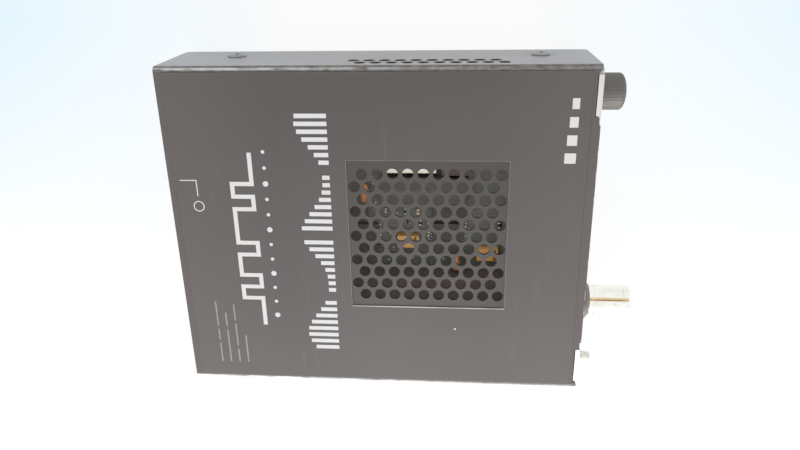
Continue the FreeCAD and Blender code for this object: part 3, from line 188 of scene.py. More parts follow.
# ---------------------------------------------------------------- finishes with work of their own
def baked_paint():
    """Textured black baking enamel on folded steel: a fine orange-peel grain, with a sheen painted
    mostly on the side walls so that they look lit, and paler along the folds, partly from wear and
    partly as a painted highlight."""
    look = bpy.context.scene.converter_case
    low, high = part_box("cover")
    s = Surface("textured_baking_enamel", look.paint, 0.34, specular_ior_level=0.42,
                sheen_roughness=0.35, sheen_tint=linear("#e6e9ee"))
    x, y, z = s.add("ShaderNodeSeparateXYZ", {"Vector": s.place}).outputs
    across = s.add("ShaderNodeMath", {0: x}, "Value", operation="ABSOLUTE")
    soft, crisp = 0.3 * MM, 0.2 * MM
    s.bump(s.patches(look.grain / MM, 0.25, 0.75, 2.0), 0.02)
    s.bump(s.patches(3), 0.008)
    s.rough(s.patches(26, 0.42, 0.72), 0.38)
    s.tint(s.patches(18, 0.5, 0.8, 5.0), "#5b5450", 0.35)
    # The vent field inside the label's window is painted a deeper tone
    start, end = label_window()
    middle, half = (start + end) / 2, (end - start) / 2
    s.tint(s.shared(s.band(x, middle.x, half.x, soft), s.band(y, middle.y, half.y, soft)),
           "#37312e", 0.82)
    # Painted sheen: the side walls get the full pale bluish sheen, so that they look lit, and the
    # rest of the paint only a little of it
    s.feed("Sheen Weight", s.add("ShaderNodeMapRange", {
        "Value": s.band(across, high.x, 0.4 * MM, 0.5 * MM),
        "To Min": 0.15 * look.painted_side_sheen, "To Max": look.painted_side_sheen}, "Result"))
    # The bend is scuffed dull and painted paler, partly as wear and partly as a painted highlight,
    # and a thin pale line along its crest, likewise partly rubbed bare paint and partly a painted
    # highlight, grows stronger towards the rear
    bend = s.shared(s.band(across, high.x - 0.6 * MM, 0.7 * MM, soft),
                    s.band(z, high.z - 0.5 * MM, 0.6 * MM, soft))
    s.rough(bend, 0.75)
    s.tint(s.shared(bend, s.patches(2.2, 0.3, 0.7, 4.0)), "#918e88", 0.62)
    line = s.shared(s.band(across, high.x - 0.75 * MM, 0.22 * MM, crisp),
                    s.band(z, high.z - 0.1 * MM, 0.3 * MM, crisp))
    rear = s.add("ShaderNodeMapRange", {
        "Value": y, "From Min": low.y + 30 * MM, "From Max": high.y - 25 * MM,
        "To Min": 0.2}, "Result")
    s.tint(s.shared(line, s.patches(2.2, 0.36, 0.56, 6.0, (1, 0.3, 1)), rear),
           "#d2d2d0", look.fold_wear_and_highlight)
    ends = s.band(y, low.y, 0.12 * MM, 0.12 * MM)
    s.tint(s.shared(ends, s.patches(2.4, 0.52, 0.6)), "#a7a5a1", 0.7)
    return s.material


def printed_film():
    """Screen-printed polyester film: a satin velvet face over dark ink, with a clear border where
    the knife cut it that catches the light."""
    look = bpy.context.scene.converter_label
    low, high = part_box("face_label")
    s = Surface("satin_polyester_film", look.film, 0.42, specular_ior_level=0.5,
                sheen_weight=0.05, sheen_roughness=0.5)
    x, y, _ = s.add("ShaderNodeSeparateXYZ", {"Vector": s.place}).outputs
    s.bump(s.patches(0.22, 0.3, 0.7, 1.0), 0.006)
    s.rough(s.patches(30, 0.4, 0.7, 4.0), 0.5)
    s.tint(s.patches(42, 0.45, 0.75, 5.0), "#4b4644", 0.4)
    s.tint(s.patches(4, 0.62, 0.7, 6.0, (0.12, 1, 1)), "#57524f", 0.3)
    for end in (low.y, high.y):    # painted light: the film is painted paler towards both ends
        s.tint(s.band(y, end, 3 * MM, 26 * MM), "#524d4a", 0.5)
    inside = s.shared(*(s.band(value, (start + end) / 2, (end - start) / 2 - look.clear_edge,
                               0.05 * MM)
                        for value, start, end in ((x, low.x, high.x), (y, low.y, high.y))))
    rim = s.add("ShaderNodeMath", {0: 1.0, 1: inside}, "Value", operation="SUBTRACT")
    s.tint(rim, "#56514e", 0.4)
    return s.material


def print_ink():
    """White screen ink: matt, slightly chalky, with pinholes and rubbed thin in places."""
    s = Surface("white_screen_ink", bpy.context.scene.converter_label.ink, 0.62)
    s.tint(s.patches(0.5, 0.66, 0.72), "#8f8b88", 0.5)
    s.tint(s.patches(9, 0.5, 0.8, 4.0), "#b3b0ad", 0.5)
    s.bump(s.patches(0.3), 0.004)
    return s.material


def passivated_aluminium():
    """Clear-passivated aluminium sheet: pale and satin, with rolling lines along the panel."""
    s = Surface("clear_passivated_aluminium", "#d2d0cb", 0.36, metallic=0.8)
    lines = s.patches(0.35, 0.25, 0.75, 2.0, (0.04, 1, 1))
    s.bump(lines, 0.004)
    s.rough(lines, 0.46)
    s.tint(s.patches(14, 0.45, 0.8, 4.0), "#c6c4bf", 0.6)
    s.tint(s.patches(1.8, 0.67, 0.72, 2.0, (0.2, 1, 1)), "#a9a8a4", 0.5)
    return s.material


def knob_plastic():
    """Satin black ABS with worn, paler crests along the knurl."""
    low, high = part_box("thumbscrew_knob")
    s = Surface("satin_abs", "#5c5753", 0.46)
    spoke = s.add("ShaderNodeVectorMath", {0: s.place, 1: (low + high) / 2}, "Vector",
                  operation="SUBTRACT")
    spoke = s.add("ShaderNodeVectorMath", {0: spoke, 1: (1, 0, 1)}, "Vector",
                  operation="MULTIPLY")
    reach = s.add("ShaderNodeVectorMath", {0: spoke}, "Value", operation="LENGTH")
    s.tint(s.band(reach, (high.z - low.z) / 2, 0.03 * MM, 0.12 * MM), "#69645f", 0.35)
    s.bump(s.patches(0.3), 0.006)
    s.rough(s.patches(3, 0.4), 0.52)
    return s.material


def solder_mask():
    """Green solder mask over glass-epoxy: satin, with bundles of copper track a shade paler and
    standing proud, and tinned via dots."""
    field_mm, pitch_mm, via_mm = 9.0, 1.27, 3.4
    s = Surface("green_solder_mask", "#575a53", 0.4, specular_ior_level=0.5)
    x, y, _ = s.add("ShaderNodeSeparateXYZ", {"Vector": s.place}).outputs
    fields = s.add("ShaderNodeTexVoronoi", {"Vector": s.place, "Scale": per_metre(field_mm)},
                   "Color", distance="CHEBYCHEV")
    choice = s.add("ShaderNodeSeparateColor", {"Color": fields}).outputs
    turn = s.add("ShaderNodeMath", {0: choice["Red"], 1: 0.5}, "Value",
                 operation="GREATER_THAN")
    line = s.add("ShaderNodeMix", {"Factor": turn, "A": x, "B": y}, "Result")
    part = s.add("ShaderNodeMath", {0: s.shared(line, per_metre(pitch_mm))}, "Value",
                 operation="FRACT")
    used = s.add("ShaderNodeMath", {0: choice["Green"], 1: 0.35}, "Value",
                 operation="GREATER_THAN")
    copper = s.shared(s.band(part, 0.5, 0.14, 0.03), used)
    s.tint(copper, "#6b7064", 0.7)
    s.bump(copper, 0.03)
    vias = s.add("ShaderNodeTexVoronoi", {"Vector": s.place, "Scale": per_metre(via_mm)},
                 "Distance")
    s.tint(s.band(vias, 0.0, 0.1, 0.02), "#b9bab2", 0.9)
    s.tint(s.patches(12, 0.45, 0.8), "#5d6157", 0.5)
    return s.material


def paper_white():
    """Smooth matt white board that the converter lies on, lit to a pale field. Near by, past the
    corners on the thumbscrew's side, a painted shade turns it a little cooler and darker."""
    look = bpy.context.scene.converter_stage
    s = Surface("matt_white_board", look.floor, 0.9, specular_ior_level=0.1)
    s.tint(s.patches(400, 0.3, 0.8, 1.0), "#f4f6f8", 0.3)
    x, y, _ = s.add("ShaderNodeSeparateXYZ", {"Vector": s.place}).outputs
    side = s.add("ShaderNodeMath", {0: y}, "Value", operation="ABSOLUTE")
    away = s.add("ShaderNodeVectorMath", {0: s.place}, "Value", operation="LENGTH")
    painted_cool_shade = s.shared(*(s.add("ShaderNodeMapRange", {
        "Value": value, "From Min": start, "From Max": end, "To Min": first,
        "To Max": 1.0 - first}, "Result") for value, start, end, first in (
            (x, -0.02, 0.06, 0.0), (side, 0.035, 0.145, 0.0), (away, 0.25, 0.6, 1.0))))
    glow = glow_mix(s.tree, painted_cool_shade, "#fefefe", "#ddf2fd")
    glow.inputs["Strength"].default_value = look.glow
    paths = s.add("ShaderNodeLightPath").outputs
    seen = paths["Is Camera Ray"]
    for ray in ("Is Glossy Ray", "Is Transmission Ray"):
        seen = s.add("ShaderNodeMath", {0: seen, 1: paths[ray]}, "Value", operation="MAXIMUM")
    surface = s.add("ShaderNodeMixShader", {
        0: s.shared(seen, look.wash), 1: s.shader.outputs["BSDF"], 2: glow.outputs["Emission"]},
        "Shader")
    s.tree.links.new(surface, s.output.inputs["Surface"])
    return s.material


# ---------------------------------------------------------------- plainer finishes
def plain(colour, roughness, grain=None, dull=None, tone=None, **values):
    """A finish of one layer of each kind at most: grain (depth in millimetres, patches), duller or
    brighter places (roughness, patches) and a second tone (colour, strength, patches). Patches
    are what Surface.patches takes, and values are the shader's own."""
    def make(name):
        s = Surface(name, colour, roughness, **values)
        if grain:
            s.bump(s.patches(*grain[1:]), grain[0])
        if dull:
            s.rough(s.patches(*dull[1:]), dull[0])
        if tone:
            s.tint(s.patches(*tone[2:]), *tone[:2])
        return s.material
    return make


PLAIN = {
    # The ink of the label again, in fine lines, where it looks greyer
    "grey_screen_ink": plain("#85817f", 0.62, tone=("#64605e", 0.6, 1.2, 0.5)),
    # Cut edge of the clear film round the vent window: a thin milky line
    "cut_polyester_edge": plain(
        "#6b6764", 0.3, specular_ior_level=0.7, dull=(0.5, 5, 0.4, 0.6),
        tone=("#54504d", 0.7, 6, 0.45, 0.6)),
    # The one side of that cut, painted paler as a lit copy of the edge's finish, for the low light
    # on it
    "lit_polyester_edge": plain(
        "#a5a19d", 0.3, specular_ior_level=0.7, tone=("#6d6966", 0.6, 6, 0.45, 0.6)),
    # Black moulded rubber: dull, with a dusty bloom and a pebbled skin
    "moulded_rubber": plain(
        "#1b1b1b", 0.82, specular_ior_level=0.3, grain=(0.03, 0.6),
        tone=("#3b3a38", 0.6, 5, 0.5, 0.75, 5.0)),
    # Black oxide on a machine screw: thin and slightly glossy, worn to steel on its high edges
    "black_oxide_steel": plain(
        "#98999b", 0.3, metallic=0.7, grain=(0.008, 0.25), dull=(0.5, 0.9, 0.4),
        tone=("#b1b1b0", 0.55, 0.8, 0.56, 0.68, 4.0)),
    # Bright zinc on pressed steel: cool, slightly cloudy, with faint drawing lines
    "bright_zinc_plate": plain(
        "#c3c6c8", 0.3, metallic=1.0, grain=(0.004, 0.4, 0.3, 0.7, 3.0, (1, 0.08, 1)),
        dull=(0.42, 3, 0.35), tone=("#a8adb4", 0.6, 6, 0.4, 0.8)),
    # Black moulded nylon: satin, with the mould's fine spark-eroded grain
    "moulded_nylon": plain(
        "#35302e", 0.5, grain=(0.012, 0.35), dull=(0.62, 8, 0.4),
        tone=("#403a37", 0.5, 6, 0.5, 0.8)),
    # Black glass-filled polyester, as connectors are moulded in: smooth but not glossy
    "moulded_polyester": plain(
        "#302d2c", 0.38, grain=(0.006, 0.5), dull=(0.5, 4, 0.4),
        tone=("#3b3735", 0.6, 3, 0.55, 0.8)),
    # The same polyester on the coaxial jack, as a paler lit copy: painted light that stands for
    # glare lifting it
    "dusty_polyester": plain(
        "#716c62", 0.5, sheen_weight=0.25, sheen_roughness=0.4, grain=(0.01, 0.5),
        dull=(0.6, 4, 0.4), tone=("#8a8477", 0.6, 3, 0.5, 0.8)),
    # Bright nickel over turned brass: a warm mirror with faint turning rings and finger haze
    "bright_nickel_plate": plain(
        "#fbf9f2", 0.13, metallic=1.0, grain=(0.0015, 0.18, 0.3, 0.7, 1.0, (0.05, 1, 0.05)),
        dull=(0.26, 2.5, 0.4, 0.75), tone=("#ebe2c6", 0.5, 4, 0.45, 0.8)),
    # Hard gold on a contact: yellow and smooth, a little duller where it has been wiped
    "hard_gold_plate": plain(
        "#d9b257", 0.2, metallic=1.0, dull=(0.34, 0.6, 0.4), tone=("#b98f3d", 0.5, 0.8, 0.5, 0.8)),
    # White PTFE: waxy, a little translucent at its edge
    "turned_ptfe": plain(
        "#e6e5df", 0.42, subsurface_weight=0.15, subsurface_scale=0.001, grain=(0.004, 0.3),
        tone=("#d3d0c6", 0.5, 2, 0.5, 0.8)),
    # Solder-dipped copper: bright, soft-edged and a little uneven
    "tinned_copper": plain(
        "#c9c9c6", 0.24, metallic=1.0, grain=(0.01, 0.4), dull=(0.4, 0.7, 0.4),
        tone=("#9d9c98", 0.5, 0.9, 0.5, 0.8)),
    # Black epoxy of chips, transfer-moulded: matt and finely sandy
    "transfer_moulded_epoxy": plain(
        "#4b4745", 0.6, grain=(0.008, 0.18), dull=(0.5, 3, 0.4),
        tone=("#54504d", 0.6, 2, 0.5, 0.8)),
    # Potting resin in a grey-black shell: flat, with a dusty bloom
    "potted_resin": plain(
        "#4a4240", 0.66, grain=(0.02, 1.4), tone=("#564d4a", 0.6, 7, 0.45, 0.8, 5.0)),
    # Off-white moulded polyester of a relay: satin, yellowed a little
    "white_polyester": plain(
        "#dedbd0", 0.45, grain=(0.006, 0.4), tone=("#c9c3b0", 0.5, 4, 0.45, 0.8)),
    # Yellow moulded epoxy of a tantalum capacitor: eggshell
    "yellow_moulded_epoxy": plain(
        "#c99a5a", 0.42, grain=(0.006, 0.3), tone=("#b88c4c", 0.5, 1.5, 0.45, 0.8)),
    # Brown ink of that capacitor's polarity band
    "brown_band_ink": plain("#7a4413", 0.5, tone=("#94591d", 0.5, 0.5, 0.5)),
    # Orange dip coat: glossy, runs thin at the edge and pools below
    "dipped_epoxy": plain(
        "#a87550", 0.18, coat_weight=0.5, coat_roughness=0.1, grain=(0.06, 1.2),
        tone=("#8a5a3c", 0.6, 2, 0.45, 0.75)),
    # Drawn aluminium can: bright, with fine lines round it
    "drawn_aluminium": plain(
        "#c8c9cb", 0.26, metallic=1.0, grain=(0.004, 0.3, 0.3, 0.7, 3.0, (0.1, 0.1, 1)),
        dull=(0.38, 2, 0.4)),
    # Water-clear epoxy lens of a lamp that is off: pale, with a greenish milky body
    "clear_lamp_epoxy": plain(
        "#eff2e9", 0.12, transmission_weight=0.45, ior=1.5, subsurface_weight=0.2,
        subsurface_scale=0.001, dull=(0.22, 0.8, 0.4, 0.8), tone=("#d5ddca", 0.6, 1.4, 0.4, 0.8)),
    # Tinted acrylic windows over the network jack's lights
    "tinted_acrylic": plain(
        "#8fa65a", 0.15, transmission_weight=0.3, ior=1.49, tone=("#6d8440", 0.5, 0.9, 0.4)),
    # Sintered ferrite: dark grey and slightly sparkly
    "sintered_ferrite": plain(
        "#343234", 0.55, grain=(0.02, 0.2), tone=("#6a676a", 0.6, 0.4, 0.62, 0.68)),
    # Enamelled copper magnet wire: glossy, deep reddish brown
    "enamelled_copper_wire": plain(
        "#9a4d27", 0.2, metallic=0.8, tone=("#6d3016", 0.6, 1.0, 0.4, 0.8)),
    # Sintered tan ceramic of chip capacitors
    "sintered_ceramic": plain(
        "#a58a66", 0.4, grain=(0.004, 0.2), tone=("#8d7352", 0.6, 0.5, 0.4, 0.8)),
    # Black overglaze of chip resistors
    "black_overglaze": plain("#1a1a1c", 0.22, tone=("#2a2a2c", 0.6, 0.6, 0.4, 0.8)),
    # Amber film over a resettable fuse
    "amber_film": plain("#b98428", 0.3, grain=(0.02, 1.0), tone=("#94651b", 0.6, 1.0, 0.4, 0.8)),
}

MADE = {}


def finish(look):
    """The material of a finish, made once: a function of its own, or one of the plainer ones."""
    if look not in MADE:
        MADE[look] = look() if callable(look) else PLAIN[look](look)
    return MADE[look]


def piece(name, data, look, node, replaces=True, sharp=40):
    """A finished mesh or curve as an object that rides with a CAD node's body, with a finish of
    its own, and as a rule takes the node's place, hiding it."""
    if isinstance(data, bmesh.types.BMesh):
        data.normal_update()
        for face in data.faces:
            face.smooth = True
        for edge in data.edges:
            edge.smooth = (len(edge.link_faces) == 2
                           and edge.calc_face_angle(0) < math.radians(sharp))
        data = as_mesh(name, data)
    thing = bpy.data.objects.new(name, data)
    bpy.context.scene.collection.objects.link(thing)
    data.materials.append(finish(look))
    if thing.type == "MESH":
        weights = thing.modifiers.new("flat_faces_stay_flat", "WEIGHTED_NORMAL")
        weights.keep_sharp = True
    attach(thing, frame["nodes"][node]["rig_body"])
    if replaces:
        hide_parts(node)


def as_mesh(name, mesh):
    """The mesh as Blender's own data."""
    data = bpy.data.meshes.new(name)
    mesh.to_mesh(data)
    mesh.free()
    return data


def paint(look, *nodes):
    """Gives CAD nodes that keep their own shape a finish."""
    for name in nodes:
        thing = frame["nodes"][name]
        thing.data.materials.clear()
        thing.data.materials.append(finish(look))


def welded(node):
    """A CAD node's mesh with its faces joined along their edges."""
    mesh = bmesh.new()
    mesh.from_mesh(frame["nodes"][node].data)
    bmesh.ops.remove_doubles(mesh, verts=mesh.verts, dist=0.001 * MM)
    return mesh


def cad_copy(node):
    """A CAD node's mesh as clean faces, with no edges across a flat."""
    mesh = welded(node)
    bmesh.ops.dissolve_limit(mesh, angle_limit=math.radians(0.3), verts=mesh.verts,
                             edges=mesh.edges)
    return mesh


def ease(mesh, width, steps=2):
    """Rounds every edge where the surface turns by more than 30 degrees."""
    sharp = [e for e in mesh.edges if len(e.link_faces) == 2
             and e.calc_face_angle(0) > math.radians(30)]
    bmesh.ops.bevel(mesh, geom=sharp, offset=width, offset_type="OFFSET", segments=steps,
                    profile=0.5, affect="EDGES", clamp_overlap=True)


def eased(node, look, width_mm, name, steps=2):
    """The CAD node's shape with its edges eased, in its place."""
    mesh = cad_copy(node)
    ease(mesh, width_mm * MM, steps)
    piece(name, mesh, look, node)


def islands(node):
    """The lowest and highest corner of each separate solid of a CAD node."""
    mesh = welded(node)
    left, found = set(mesh.verts), []
    while left:
        solid, fresh = set(), {left.pop()}
        while fresh:
            solid |= fresh
            fresh = {edge.other_vert(vert) for vert in fresh for edge in vert.link_edges} - solid
        left -= solid
        corners = [vert.co for vert in solid]
        found.append((Vector(map(min, *corners)), Vector(map(max, *corners))))
    mesh.free()
    return sorted(found, key=lambda pair: tuple(pair[0]))


def label_window():
    """The lowest and highest corner of the opening that the face label leaves round the vents."""
    border = 5 * MM
    low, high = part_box("face_label")
    mesh = welded("face_label")
    inner = [vert.co.copy() for vert in mesh.verts if abs(vert.co.x) < high.x - border
             and low.y + border < vert.co.y < high.y - border]
    mesh.free()
    return Vector(map(min, *inner)), Vector(map(max, *inner))


def round_node(node):
    """The centre of a turned CAD node's front end, and its radius and length."""
    low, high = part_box(node)
    centre = Vector(((low.x + high.x) / 2, low.y, (low.z + high.z) / 2))
    return centre, (high.x - low.x) / 2, high.y - low.y


def gap(box, point):
    """How far a point lies outside a box."""
    low, high = box
    return Vector(max(low[i] - point[i], 0, point[i] - high[i]) for i in range(3)).length


def apart(low, high, other_low, other_high):
    """Whether two boxes stand clear of each other."""
    return any(high[i] < other_low[i] or low[i] > other_high[i] for i in range(3))


def angles(count):
    """Even turns round a full circle."""
    return [2 * math.pi * k / count for k in range(count)]


def add_block(mesh, low, high):
    """A box between two corners."""
    for vert in bmesh.ops.create_cube(mesh, size=1.0)["verts"]:
        vert.co = Vector(low[i] + (vert.co[i] + 0.5) * (high[i] - low[i]) for i in range(3))


def bridge(mesh, first, second):
    """Faces between two rings of points, of which one may be a single point."""
    count = max(len(first), len(second))
    for k in range(count):
        j = (k + 1) % count
        corners = (first[k % len(first)], first[j % len(first)], second[j % len(second)],
                   second[k % len(second)])
        if len(set(corners)) > 2:
            mesh.faces.new(list(dict.fromkeys(corners)))


def turned(mesh, profile, centre, axis, count=48):
    """Turns a profile of (distance along the axis, radius) points about an axis."""
    side = X if abs(axis.dot(X)) < 0.5 else Y
    other = axis.cross(side)
    rings = []
    for along, radius in profile:
        middle = centre + axis * along
        spokes = angles(count) if radius > 1e-7 else [0.0]
        rings.append([mesh.verts.new(middle + radius * (side * math.cos(t) + other * math.sin(t)))
                      for t in spokes])
    for first, second in zip(rings, rings[1:]):
        bridge(mesh, first, second)


def closed(mesh):
    """Turns every face outward."""
    bmesh.ops.recalc_face_normals(mesh, faces=mesh.faces)
    return mesh


def add_strip(mesh, points, width_way, width, thick):
    """A flat strip that follows points, as a bent lead does."""
    sections = []
    for i, point in enumerate(points):
        before, after = points[max(i - 1, 0)], points[min(i + 1, len(points) - 1)]
        up = (after - before).cross(width_way).normalized()
        sections.append([
            mesh.verts.new(point + width_way * sx * width / 2 + up * sz * thick / 2)
            for sx, sz in ((-1, -1), (1, -1), (1, 1), (-1, 1))])
    for first, second in zip(sections, sections[1:]):
        bridge(mesh, first, second)
    mesh.faces.new(sections[0][::-1])
    mesh.faces.new(sections[-1])


# ---------------------------------------------------------------- what a user can change
class CaseLooks(bpy.types.PropertyGroup):
    paint: FloatVectorProperty(
        name="Paint", description="Colour of the baked paint", subtype="COLOR",
        default=linear("#524c4a")[:3])
    grain: FloatProperty(
        name="Grain", description="Width of the paint's orange-peel grain", unit="LENGTH",
        default=0.35 * MM)
    # Painted sheen: how strong the sheen painted on the side walls is, which makes them look lit
    painted_side_sheen: FloatProperty(
        name="Painted_sheen", description="How much the textured paint greys in grazing light",
        default=0.8, min=0.0, max=1.0, subtype="FACTOR")
    # Strength of the pale line along the folds' crest: partly wear, partly a painted highlight
    fold_wear_and_highlight: FloatProperty(
        name="Wear", description="How far the folds are rubbed", default=0.75, min=0.0, max=1.0,
        subtype="FACTOR")
    eased: FloatProperty(
        name="Eased edge", description="Width of the round on cut edges", unit="LENGTH",
        default=0.12 * MM)


class LabelLooks(bpy.types.PropertyGroup):
    film: FloatVectorProperty(
        name="Film", description="Colour of the printed film", subtype="COLOR",
        default=linear("#433e3d")[:3])
    ink: FloatVectorProperty(
        name="Ink", description="Colour of the printed marks", subtype="COLOR",
        default=linear("#bcbbba")[:3])
    clear_edge: FloatProperty(
        name="Clear edge", description="Width of the unprinted border", unit="LENGTH",
        default=0.3 * MM)
    ink_height: FloatProperty(
        name="Ink height", description="How far the ink stands on the film", unit="LENGTH",
        default=0.02 * MM)


class BoardLooks(bpy.types.PropertyGroup):
    lead: FloatProperty(
        name="Lead thickness", description="Thickness of the chips' bent leads", unit="LENGTH",
        default=0.15 * MM)
    small_parts: IntProperty(
        name="Small parts", description="How many chip parts are scattered on the board",
        default=46, min=0)


class StageLooks(bpy.types.PropertyGroup):
    floor: FloatVectorProperty(
        name="Floor", description="Colour of the board below", subtype="COLOR",
        default=linear("#f2f2f0")[:3])
    glow: FloatProperty(
        name="Field", description="Brightness of the pale field", default=1.0, min=0.0)
    wash: FloatProperty(
        name="Wash", description="How far the pale field hides shadows", default=0.93, min=0.0,
        max=1.0, subtype="FACTOR")
    world: FloatProperty(
        name="Surround", description="Strength of the light from all round", default=1.0,
        min=0.0)
    lens: FloatProperty(
        name="Lens", description="Focal length on a 36 mm sensor, in millimetres", default=31.8)


# ---------------------------------------------------------------- pieces
class CONVERTER_OT_case(bpy.types.Operator):
    """Lid and tray in textured paint, and the card's plastic guides"""
    bl_idname = "converter.case"
    bl_label = "Case"

    def execute(self, context):
        width = context.scene.converter_case.eased / MM
        eased("cover", baked_paint, width, "lid")
        eased("base_tray", baked_paint, width, "tray")
        eased("card_guide_left", "moulded_nylon", 0.2, "left_guide")
        eased("card_guide_right", "moulded_nylon", 0.2, "right_guide")
        return DONE


class FlatInk:
    """Flat marks of ink on the face label, in one mesh, placed in millimetres."""

    def __init__(self):
        self.mesh = bmesh.new()
        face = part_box("face_label")[1].z
        height = bpy.context.scene.converter_label.ink_height
        self.low_z, self.high_z = face - height, face + height

    def plate(self, corners):
        """A flat shape through corners, given in order."""
        lower, upper = ([self.mesh.verts.new((x * MM, y * MM, z)) for x, y in corners]
                        for z in (self.low_z, self.high_z))
        self.mesh.faces.new(lower[::-1])
        self.mesh.faces.new(upper)
        bridge(self.mesh, lower, upper)

    def bar(self, x, y, end_x, end_y):
        self.plate(((x, y), (end_x, y), (end_x, end_y), (x, end_y)))

    def disc(self, x, y, radius, corners=20, stretch=1.0):
        self.plate([(x + radius * math.cos(t), y + stretch * radius * math.sin(t))
                    for t in angles(corners)])


def pulse_train(ink, high):
    """A stepped pulse train across the rear of the label, a row of dots beside it, and one
    stray speck."""
    half_stroke, step, left = 1.3 / 2, 6.0, -30
    top = high.y - 17
    foot = top - step
    x, up = left, False
    runs = (9, 4, 4, 7, 4, 11, 4, 4, 9)
    for k, run in enumerate(runs):
        level = top if up else foot
        end = x + run
        ink.bar(x - half_stroke, level - half_stroke, end + half_stroke, level + half_stroke)
        if k < len(runs) - 1:
            ink.bar(end - half_stroke, foot + half_stroke,
                    end + half_stroke, top - half_stroke)
        x, up = end, not up
    dot_pitch, small, large = 4.9, 0.55, 0.85
    for k in range(12):
        ink.disc(left + 3 + k * dot_pitch, foot - 4.2, small if k % 3 else large)
    ink.disc(left - 0.6, foot - 60.65, 0.32, corners=7, stretch=1.2)


def level_bars(ink, high):
    """A row of upright bars across the label that rise and fall like a level meter, with every
    ninth left out."""
    start, base, pitch, width = -39, high.y - 46.5, 2.3, 1.3
    lowest, rise = 2.2, 7.4
    for k in range(34):
        swing = 0.5 + 0.5 * math.sin(k * 0.42 + 0.6)
        x = start + k * pitch
        if k % 9 != 8:
            ink.bar(x, base, x + width, base + lowest + rise * swing ** 1.4)


def corner_marks(ink, low, high):
    """Small squares at the front corner, and a leader line with a ring by the power inlet."""
    pitch, width = 5.2, 3.0
    for k in range(4):
        x = high.x - 26 + pitch * k
        ink.bar(x, low.y + 3.2, x + width, low.y + 6.4 - 0.4 * k)
    inlet = round_node("dc_jack_body")[0].x / MM
    half = 0.15
    ink.bar(inlet - half, high.y - 6.0, inlet + half, high.y - 1.2)
    ink.bar(inlet - 5.0, high.y - 6.3, inlet + half, high.y - 6.0)
    x, y, outer, inner = inlet - 8.2, high.y - 6.1, 1.7, 1.4
    turns = angles(28)
    for start, end in zip(turns, turns[1:] + turns[:1]):
        ink.plate([(x + r * math.cos(a), y + r * math.sin(a)) for r, a in (
            (outer, start), (outer, end), (inner, end), (inner, start))])


def ruled_lines(ink, low, high):
    """Plain ruled lines of broken lengths near the rear corner."""
    pitch, stroke, space = 2.9, 0.45, 1.2
    for row, runs in enumerate(((7, 4, 9), (12, 5), (5, 8, 6), (10,))):
        x, y = low.x + 5, high.y - 7.5 - pitch * row
        for run in runs:
            ink.bar(x, y, x + run, y + stroke)
            x += run + space


def window_edge(look):
    """The clear cut edge round the vent window, whose -X side is painted paler, as lit by the low
    light.
    """
    (left, front, _), (right, back, face) = label_window()
    wide, half = look.clear_edge, look.clear_edge / 2
    foot, top = face - look.ink_height, face + look.ink_height / 2
    thin, lit = bmesh.new(), bmesh.new()
    add_block(thin, (left - wide, front - half, foot), (right + half, front, top))
    add_block(thin, (left - wide, back, foot), (right + half, back + half, top))
    add_block(thin, (right, front, foot), (right + half, back, top))
    add_block(lit, (left - wide, front, foot), (left, back, top))
    piece("label_window_edge", thin, "cut_polyester_edge", "face_label", replaces=False)
    piece("label_window_lit_edge", lit, "lit_polyester_edge", "face_label", replaces=False)


class CONVERTER_OT_label(bpy.types.Operator):
    """Printed film with its vent window, and the plain marks printed on it"""
    bl_idname = "converter.label"
    bl_label = "Face label"

    def execute(self, context):
        paint(printed_film, "face_label")
        low, high = (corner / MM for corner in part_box("face_label"))
        marks, lines = FlatInk(), FlatInk()
        pulse_train(marks, high)
        level_bars(marks, high)
        corner_marks(marks, low, high)
        piece("label_marks", closed(marks.mesh), print_ink, "face_label", replaces=False)
        ruled_lines(lines, low, high)
        piece("label_fine_lines", closed(lines.mesh), "grey_screen_ink", "face_label",
              replaces=False)
        window_edge(context.scene.converter_label)
        return DONE


class CONVERTER_OT_screws(bpy.types.Operator):
    """Pan-head screws with a round crown and a cross recess"""
    bl_idname = "converter.screws"
    bl_label = "Screws"

    def execute(self, context):
        for place, look in (("side", "black_oxide_steel"), ("rear", "black_oxide_steel"),
                            ("board", "bright_zinc_plate"), ("bracket", "bright_zinc_plate")):
            eased(f"{place}_screws", look, 0.12, f"{place}_screw_heads", steps=3)
        return DONE


class CONVERTER_OT_feet(bpy.types.Operator):
    """Round rubber feet with a soft shoulder"""
    bl_idname = "converter.feet"
    bl_label = "Rubber feet"

    def execute(self, context):
        # Shares of the foot's height and radius: its top, its side, its shoulder and its hollow
        section = ((1, 0), (1, 1), (0.45, 1), (0.25, 0.97), (0.08, 0.9), (0, 0.8), (0, 0.42),
                   (0.1, 0.36), (0.12, 0))
        mesh = bmesh.new()
        for low, high in islands("rubber_feet"):
            centre = Vector(((low.x + high.x) / 2, (low.y + high.y) / 2, 0))
            radius = (high.x - low.x) / 2
            turned(mesh, [(high.z * up, radius * out) for up, out in section], centre, Z)
        piece("foot_pads", closed(mesh), "moulded_rubber", "rubber_feet")
        return DONE


class CONVERTER_OT_card_panel(bpy.types.Operator):
    """Card's front plate, and the brackets between it and the board"""
    bl_idname = "converter.card_panel"
    bl_label = "Card panel"

    def execute(self, context):
        eased("card_panel", passivated_aluminium, 0.12, "front_plate")
        eased("board_brackets", "bright_zinc_plate", 0.1, "angle_brackets")
        return DONE


